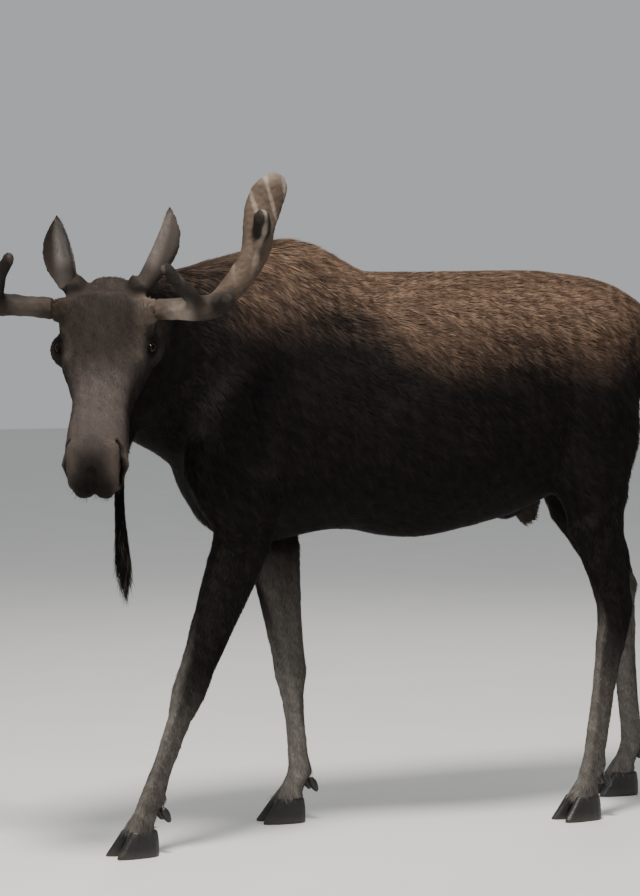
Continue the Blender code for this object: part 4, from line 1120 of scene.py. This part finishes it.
def grow_coat():
    """Every tuft of the body, shared out among pieces by region and side."""
    density = by_region(skin_shares, "per_square_metre") * ~skin_bare
    grown = scattered(skin_points, skin_triangles, density, skin_columns)
    place, normal, shares = grown["place"], grown["normal"], grown["shares"]
    way = flattened(grown["way"], normal)
    count = len(place)
    values = varied(place, 0.34, bake_map)
    angle = 0.13 * random.normal(size=count) + 0.30 * waves(place, 0.05, 11) + 0.10 * waves(place, 0.016, 12)
    way = turned(way, normal, angle)
    length = by_region(shares, "length") * random.uniform(0.72, 1.25, count)
    width = by_region(shares, "width") * random.uniform(0.75, 1.25, count)
    lift = by_region(shares, "depth") * by_region(shares, "lift") * random.uniform(0.55, 1.1, count)
    # the mane over the hump and the crest of the neck is longer
    mane = ramp(place[:, 2], 1.62, 1.76) * ramp(place[:, 1], 0.25, -0.15) * (shares[:, 0] + shares[:, 1])
    length = length * (1 + 0.8 * mane)
    # behind the head the neck's hair starts short
    behind = lengths(place - in_head(0.15, 0.0, -0.10))
    length = length * (1 - 0.50 * share_of(shares, "neck") * ramp(behind, 0.44, 0.26))
    # on the face the hair is shortest at the nose and round the eyes
    n = head_places(place)[:, 0]
    by_eye = ramp(gap(place, EYE.values()), 0.016, 0.060) * 0.55 + 0.45
    short = np.minimum(by_eye, 1 - 0.50 * ramp(n, 0.30, 0.52))
    on_head = share_of(shares, "head")
    at_ear = gap(place, EAR_FEET)
    crown = 1 + 0.8 * ramp(n, 0.16, 0.04) * ramp(at_ear, 0.060, 0.100) - 0.55 * ramp(at_ear, 0.085, 0.055)
    length = length * (1 - on_head + on_head * short * crown)
    coronets = [on_side([(0.103, 0.150, -0.014), (0.103, 0.200, -0.014)], s) for s in EYE]
    at_coronet = np.minimum(*(distance_to_path(place, coronet) for coronet in coronets))
    length = length * (1 + 0.4 * ramp(at_coronet, 0.050, 0.040))
    lift = lift * (1 - on_head + on_head * np.minimum(short + 0.15, 1))
    lift = lift * (1 - 0.5 * ramp(at_ear, 0.085, 0.055))
    # over the hooves and behind the fetlocks it is longer
    hoof = 1.5 * ramp(place[:, 2], 0.130, 0.095)
    fetlock = 0.9 * ramp(place[:, 2], 0.240, 0.180) * ramp(normal[:, 1], 0.1, 0.7)
    length = length * (1 + share_of(shares, "lower") * (hoof + fetlock))
    # inside the ears it is longer, and at their rims shorter
    on_ear = share_of(shares, "ear")
    rim = ear_rim(place)
    length = length * (1 + on_ear * (0.9 * ear_inside(place, normal) * (1 - rim) - 0.60 * rim))
    lift = lift * (1 - 0.6 * on_ear * rim)
    ridge = 1.50 + 0.12 * ramp(place[:, 1], 0.30, -0.20)
    back = ramp(place[:, 2] - ridge, -0.14, 0.18) * (shares[:, 0] + 0.6 * shares[:, 1] * ramp(n, 0.02, -0.16))
    roots = Roots(place, normal, way, grown["colour"], values)
    region = shares.argmax(axis=1)
    head_left, body_left = (place - POLL) @ LEFT > 0, place[:, 0] > BODY_MIDDLE  # the head is turned
    shape = (length, width, lift, 0.020 + 0.64 * back)
    rear = place[:, 1] >= middle("trunk")[1]
    for piece, regions in PIECES.items():
        for half in ("left", "right"):
            on_left = head_left if piece in ("head", "ears") else body_left
            chosen = np.isin(region, [REGIONS.index(name) for name in regions])
            chosen &= on_left == (half == "left")
            if piece == "trunk":
                plant(f"coat_trunk_fore_{half}", roots, chosen & ~rear, *shape)
                plant(f"coat_trunk_rear_{half}", roots, chosen & rear, *shape)
            else:
                plant(f"coat_{piece}_{half}", roots, chosen, *shape)


def present(made):
    """Gives a piece of hair its finish and its place in the model."""
    dress(made, coat_material)
    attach(made, "root")


def plant(name, roots, keep, length, width, lift, tip_pale):
    values = {key: value[keep] for key, value in roots.values.items()}
    some = Roots(*(column[keep] for column in roots[:4]), values)
    present(tufts(name, some, length[keep], width[keep], lift[keep], tip_pale=tip_pale[keep]))


def lash_roots(s, count):
    """Places along the edge of an eye's upper lid, from corner to corner."""
    gaze, corner, upper = eye_axes(s)
    at = np.linspace(-0.82, 0.82, count) + random.normal(0, 0.01, count)
    over = (1 - np.abs(at) ** LID_POINTEDNESS) ** (1 / LID_POINTEDNESS)
    flat = corner * (at * OPENING_LENGTH)[:, None] + upper * (over * OPENING_HEIGHT)[:, None] * 1.10
    angle = lengths(flat) / EYE_RADIUS
    ray = gaze * np.cos(angle)[:, None] + unit(flat) * np.sin(angle)[:, None]
    return EYE[s] + ray * (EYE_RADIUS + LID_THICKNESS * 0.8), ray


LASHES = 64  # to an eye
LASH_LENGTH, LASH_WIDTH = 0.0125, 0.0007
WHISKER_LENGTH, WHISKER_WIDTH = 0.017, 0.0006
WHISKER_DENSITY = 7000.0  # to the square metre
BRUSH_WIDTH = 0.0019  # of the bell's strands
BRUSH_DENSITY = 42000.0


def grow_lashes():
    """Dark lashes along the upper lids, pointing out and a little down."""
    for s in EYE:
        place, ray = lash_roots(s, LASHES)
        gaze, corner, upper = eye_axes(s)
        way = unit(ray + gaze * 0.9 + upper * 0.25 + corner * random.normal(0, 0.12, LASHES)[:, None])
        normal = unit(upper - way * (way @ upper)[:, None])
        values = varied(place, 0.2, bake_map)
        roots = Roots(place, normal, way, np.tile(Colours.dark * 1.5, (LASHES, 1)), values)
        length = LASH_LENGTH * random.uniform(0.7, 1.2, LASHES)
        name = "lashes_left" if s > 0 else "lashes_right"
        present(tufts(name, roots, length, np.full(LASHES, LASH_WIDTH), -length * 0.25))


def grow_whiskers():
    """Sparse stiff hairs about the lips and the chin."""
    n, _, c = head_places(skin_points).T
    near = ramp(n, 0.46, 0.56) * ramp(c, -0.045, -0.10) * share_of(skin_shares, "head")
    grown = scattered(skin_points, skin_triangles, WHISKER_DENSITY * near * ~skin_bare, skin_columns)
    place, normal = grown["place"], grown["normal"]
    count = len(place)
    values = varied(place, 0.3, bake_map)
    way = unit(NOSE * 0.7 - UP * 0.5 + normal * 0.5 + 0.25 * random.normal(size=(count, 3)))
    roots = Roots(place, normal, way, grown["colour"] * 1.2, values)
    length = WHISKER_LENGTH * random.uniform(0.5, 1.2, count)
    present(tufts("whiskers", roots, length, np.full(count, WHISKER_WIDTH), length * 0.2))


def grow_bell_brush():
    """The bell's long hanging strands, paler at their tips."""
    low, top = (corner[2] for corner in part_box("bell"))
    hang = ramp(skin_points[:, 2], top - 0.16, low + 0.10)
    density = BRUSH_DENSITY * share_of(skin_shares, "bell") * (0.06 + 0.94 * hang)
    grown = scattered(skin_points, skin_triangles, density, {**skin_columns, "hang": hang[:, None]})
    place, normal = grown["place"], grown["normal"]
    way = flattened(-UP + normal * 0.10, normal, 0.6)
    count = len(place)
    values = varied(place, 0.40, bake_map, 0.008)
    way = turned(way, normal, random.normal(0, 0.10, count))
    roots = Roots(place, normal, way, grown["colour"], values)
    length = (0.016 + 0.054 * grown["hang"][:, 0]) * random.uniform(0.6, 1.25, count)
    width, pale = np.full(count, BRUSH_WIDTH), np.full(count, 0.55)
    lift = 0.004 * random.uniform(0.4, 1.4, count)
    present(tufts("bell_brush", roots, length, width, lift, 4, tip_pale=pale, tip_colour=Colours.bell_tip))


grow_coat()
grow_bell_brush()
grow_lashes()
grow_whiskers()


# ---------------------------------------------------------------- eyes


def make_eye(s):
    """An eyeball with a domed cornea; its markings lie round the line of sight."""
    gaze, corner, upper = eye_axes(s)
    turn = np.stack([corner, upper, gaze], axis=1)
    local, faces = ball_arrays((0, 0, 0), 1.0, 64, 48)
    local = np.array(local)
    local /= np.linalg.norm(local, axis=1, keepdims=True)
    dome = 1 + 0.045 * ramp(local[:, 2], 0.62, 0.95)
    points = EYE[s] + (local * dome[:, None] * EYE_RADIUS) @ turn.T
    made = object_of("eyeball_left" if s > 0 else "eyeball_right", points, faces)
    set_attribute(made.data, "Sight", "FLOAT_VECTOR", local, "vector")
    dress(made, eye_material)
    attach(made, "root")
    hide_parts("eye_left" if s > 0 else "eye_right")


IRIS = (  # from the pupil's middle outwards, as shares of the eye's radius
    (0.20, (0.008, 0.004, 0.002)), (0.45, (0.014, 0.0065, 0.003)), (0.62, (0.007, 0.004, 0.003)),
    (0.72, (0.005, 0.004, 0.0035)), (0.90, (0.016, 0.011, 0.010)),
)


def make_eye_material():
    """Dark brown with a long pupil that lies level, under a thin wet layer."""
    made, tree, shader = nodes_of("eye", 0.10, 0.12)
    sight = add(tree, "Attribute", {}, attribute_name="Sight")["Vector"]

    def length_of(scale):
        stretched = add(tree, "VectorMath", {0: sight, 1: scale}, operation="MULTIPLY")["Vector"]
        return add(tree, "VectorMath", {0: stretched}, operation="LENGTH")["Value"]

    iris = shades(tree, length_of((1.0, 1.0, 0.0)), IRIS)
    pupil = spread_node(tree, length_of((0.72, 1.35, 0.0)), 0.0, 1.0, 0.26, 0.31)
    streaks = spread_node(tree, noise_node(tree, 700.0), 0.6, 1.4)
    factor = add(tree, "Math", {0: pupil, 1: streaks}, operation="MULTIPLY")["Value"]
    fill(tree, shader, {
        "Base Color": scaled_colour(tree, iris, factor),
        "Coat Weight": 0.10,
        "Coat Roughness": 0.03,
    })
    return made


eye_material = make_eye_material()
for s in EYE:
    make_eye(s)

# ---------------------------------------------------------------- antlers

FUZZ_LENGTH = 0.0036
FUZZ_WIDTH = 0.0008
FUZZ_DENSITY = 110000.0  # to the square metre
VELVET_VOXEL = 0.0036
ANTLER_PARTS = ("beam", "brow", "spur", "palm", "fork")
velvet_material = painted_material("velvet", 0.72, 0.20, 300.0, 0.22, (0.5, 0.0022))
fuzz_material = painted_material("velvet_fuzz", 0.66, 0.22, 700.0, 0.15)


def velvet_colour(points, normals, side):
    """Painted shade on the tines, the undersides and the right beam, pale seams along the beam and palm, and
    a pale base to each beam that is partly a painted sky reflection.
    """
    s = 1 if side == "left" else -1
    top = float(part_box(f"antler_{side}_palm")[1][2])
    height = (points[:, 2] - (top - 0.42)) / 0.42
    # painted shade on the undersides
    colour = mixed(np.tile(VELVET, (len(points), 1)), VELVET_SHADE, ramp(normals @ UP, -0.2, -0.9) * 0.7)
    # painted shade on the brow tine, the spur and the fork
    for tine, reach in (("brow", 0.140), ("spur", 0.085), ("fork", 0.068)):
        far = lengths(points - middle(f"antler_{side}_{tine}"))
        colour = mixed(colour, VELVET_SHADE, ramp(far, reach, 0.6 * reach) * 0.9)
    way = points @ unit(AHEAD * 0.4 - LEFT * s * 1.0)
    bands = np.sin(way * 105 + 2.0 * waves(points, 0.16, 21)) + 0.25 * waves(points, 0.03, 27)
    seam = ramp(bands, 0.55, 1.05) * ramp(height, 0.15, 0.55)
    colour = mixed(colour, VELVET_PALE, seam * 0.65)
    colour = mixed(colour, VELVET_PALE, ramp(height, 0.88, 1.0) * 0.45)
    out = (points - POLL) @ LEFT * s
    # a pale patch at the beam's base: partly the velvet's own paleness, partly a painted sky reflection; weak
    # on the right
    pale_base_and_reflection = ramp(out, 0.165, 0.220) * ramp(out, 0.285, 0.245) * ramp(height, 0.15, 0.02)
    if s > 0:
        pale_base_and_reflection = pale_base_and_reflection * 0.80
    else:
        pale_base_and_reflection = pale_base_and_reflection * 0.15
        # painted shade over the right beam
        colour = mixed(colour, VELVET_SHADE, ramp(out, 0.60, 0.38) * 0.65)
    blotch = (1 + 0.10 * waves(points, 0.03, 22) + 0.08 * waves(points, 0.008, 28))[:, None]
    return mixed(colour, VELVET_PALE, pale_base_and_reflection) * blotch


def make_antler(side):
    nodes = [f"antler_{side}_{part}" for part in ANTLER_PARTS]
    made = keep_largest(remeshed(f"velvet_{side}", *node_arrays(nodes, NODE_GROWTH)[:2], VELVET_VOXEL))
    mesh = made.data
    move_to(mesh, relaxed(points_of(mesh), edges_of(mesh), 0.6, 14))
    points, normals = points_of(mesh), normals_of(mesh)
    lumps = 0.0016 * waves(points, 0.035, 23) + 0.0007 * waves(points, 0.010, 24) - 0.0012
    move_to(mesh, points + normals * lumps[:, None])
    points, normals = points_of(mesh), normals_of(mesh)
    colour = velvet_colour(points, normals, side)
    paint(mesh, colour)
    dress(made, velvet_material)
    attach(made, "root")
    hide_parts(*nodes)
    way = flattened(unit(points - middle(f"antler_{side}_beam")), normals)
    columns = {"place": points, "normal": normals, "way": way, "colour": colour}
    grown = scattered(points, triangles_of(mesh), np.full(len(points), FUZZ_DENSITY), columns)
    place, normal = grown["place"], grown["normal"]
    count = len(place)
    values = varied(place, 0.25, BakeMap(made), 0.006)
    way = turned(unit(grown["way"]), normal, random.normal(0, 0.5, count))
    roots = Roots(place, normal, way, grown["colour"], values)
    length = FUZZ_LENGTH * random.uniform(0.6, 1.3, count)
    width = np.full(count, FUZZ_WIDTH)
    fuzz = tufts(f"velvet_fuzz_{side}", roots, length, width, length * 0.42, root_dark=0.90)
    dress(fuzz, fuzz_material)
    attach(fuzz, "root")


for side in ("left", "right"):
    make_antler(side)

# ---------------------------------------------------------------- hooves

HOOF_VOXEL = 0.0034
HOOF_WEAR = 0.030  # height of the worn edge over the floor


def make_hoof_material():
    """Black horn with growth rings and a worn, greyer edge at the floor."""
    made, tree, shader = nodes_of("hoof_horn", 0.38, 0.45)
    place = add(tree, "TexCoord", {})["Object"]
    height = add(tree, "SeparateXYZ", {"Vector": place})["Z"]
    pattern = {"Vector": place, "Scale": 55.0, "Distortion": 5.0, "Detail": 2.0}
    rings = add(tree, "TexWave", pattern, bands_direction="Z")["Fac"]
    worn = spread_node(tree, height, 1.0, 0.0, 0.0, HOOF_WEAR)
    colours = {"Factor": worn, "A": (0.011, 0.0095, 0.0090, 1), "B": (0.036, 0.031, 0.027, 1)}
    horn_colour = add(tree, "Mix", colours, data_type="RGBA")["Result"]
    grain = noise_node(tree, 160.0, 5.0)
    fill(tree, shader, {
        "Base Color": scaled_colour(tree, horn_colour, spread_node(tree, grain, 0.6, 1.4)),
        "Roughness": spread_node(tree, grain, 0.28, 0.55),
        "Normal": bumped(tree, rings, 0.20, 0.0009),
    })
    return made


def make_hooves(leg, finish):
    """The four claws of a foot, rounded over."""
    nodes = [f"{kind}_{leg}_{place}" for kind in ("hoof", "dewclaw") for place in ("inner", "outer")]
    made = remeshed(f"hooves_{leg}", *node_arrays(nodes)[:2], HOOF_VOXEL)
    mesh = made.data
    rounded = relaxed(points_of(mesh), edges_of(mesh), 0.6, 4)
    low = rounded[:, 2].min()
    rounded[:, 2] = np.where(rounded[:, 2] < low + 0.002, 0.0, rounded[:, 2])
    move_to(mesh, rounded)
    dress(made, finish)
    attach(made, "root")
    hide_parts(*nodes)


horn = make_hoof_material()
for leg in LEGS:
    make_hooves(leg, horn)

# ---------------------------------------------------------------- floor, light and camera

CAMERA_TURN = math.radians(65.0)  # round the animal from straight ahead, towards its left
CAMERA_DISTANCE = 9.0
CAMERA_HEIGHT = 1.6
CAMERA_DROP = math.radians(2.66)
CAMERA_AIM = (-0.1145, -0.0252)
LENS = 117.5  # millimetres, for a sensor 36 mm high


def make_camera():
    data = bpy.data.cameras.new("camera")
    data.lens = LENS
    data.sensor_width = 36.0
    made = placed("camera", data)
    back = Vector((math.sin(CAMERA_TURN), -math.cos(CAMERA_TURN), 0))
    made.location = Vector((*CAMERA_AIM, CAMERA_HEIGHT)) + back * CAMERA_DISTANCE
    made.rotation_euler = (math.pi / 2 - CAMERA_DROP, 0, CAMERA_TURN)
    bpy.context.scene.camera = made


def make_light(name, place, aim, size, power, colour):
    data = bpy.data.lights.new(name, "AREA")
    data.shape = "DISK"
    data.size = size
    data.energy = power
    data.color = colour
    made = placed(name, data)
    made.location = place
    made.rotation_euler = (Vector(aim) - Vector(place)).to_track_quat("-Z", "Y").to_euler()
    made.visible_glossy = size < 2  # the wide lights leave no glare on the eyes


def make_floor():
    floor = object_of("floor", [(-30, -30, 0), (30, -30, 0), (30, 30, 0), (-30, 30, 0)], [(0, 1, 2, 3)])
    floor.location.z = -0.0005
    finish, tree, shader = nodes_of("floor", 0.9, 0.1)
    grey = shades(tree, noise_node(tree, 2.5), ((0.0, (0.70, 0.70, 0.69)), (1.0, (0.76, 0.76, 0.75))))
    fill(tree, shader, {"Base Color": grey})
    dress(floor, finish)


def make_world():
    world = bpy.data.worlds.new("studio")
    world.use_nodes = True
    background = world.node_tree.nodes["Background"]
    background.inputs["Color"].default_value = (0.86, 0.88, 0.90, 1)
    background.inputs["Strength"].default_value = 0.50
    bpy.context.scene.world = world


make_camera()
make_floor()
make_world()
make_light("key", (2.2, -1.5, 6.5), (0.0, 0.0, 1.2), 1.6, 620, (1.0, 0.95, 0.88))
make_light("fill", (5.0, -6.5, 3.0), (0.0, -0.4, 1.0), 4.0, 120, (0.92, 0.96, 1.0))
make_light("rim", (-4.5, 3.5, 5.0), (0.0, 0.2, 1.4), 2.5, 110, (1.0, 0.94, 0.86))
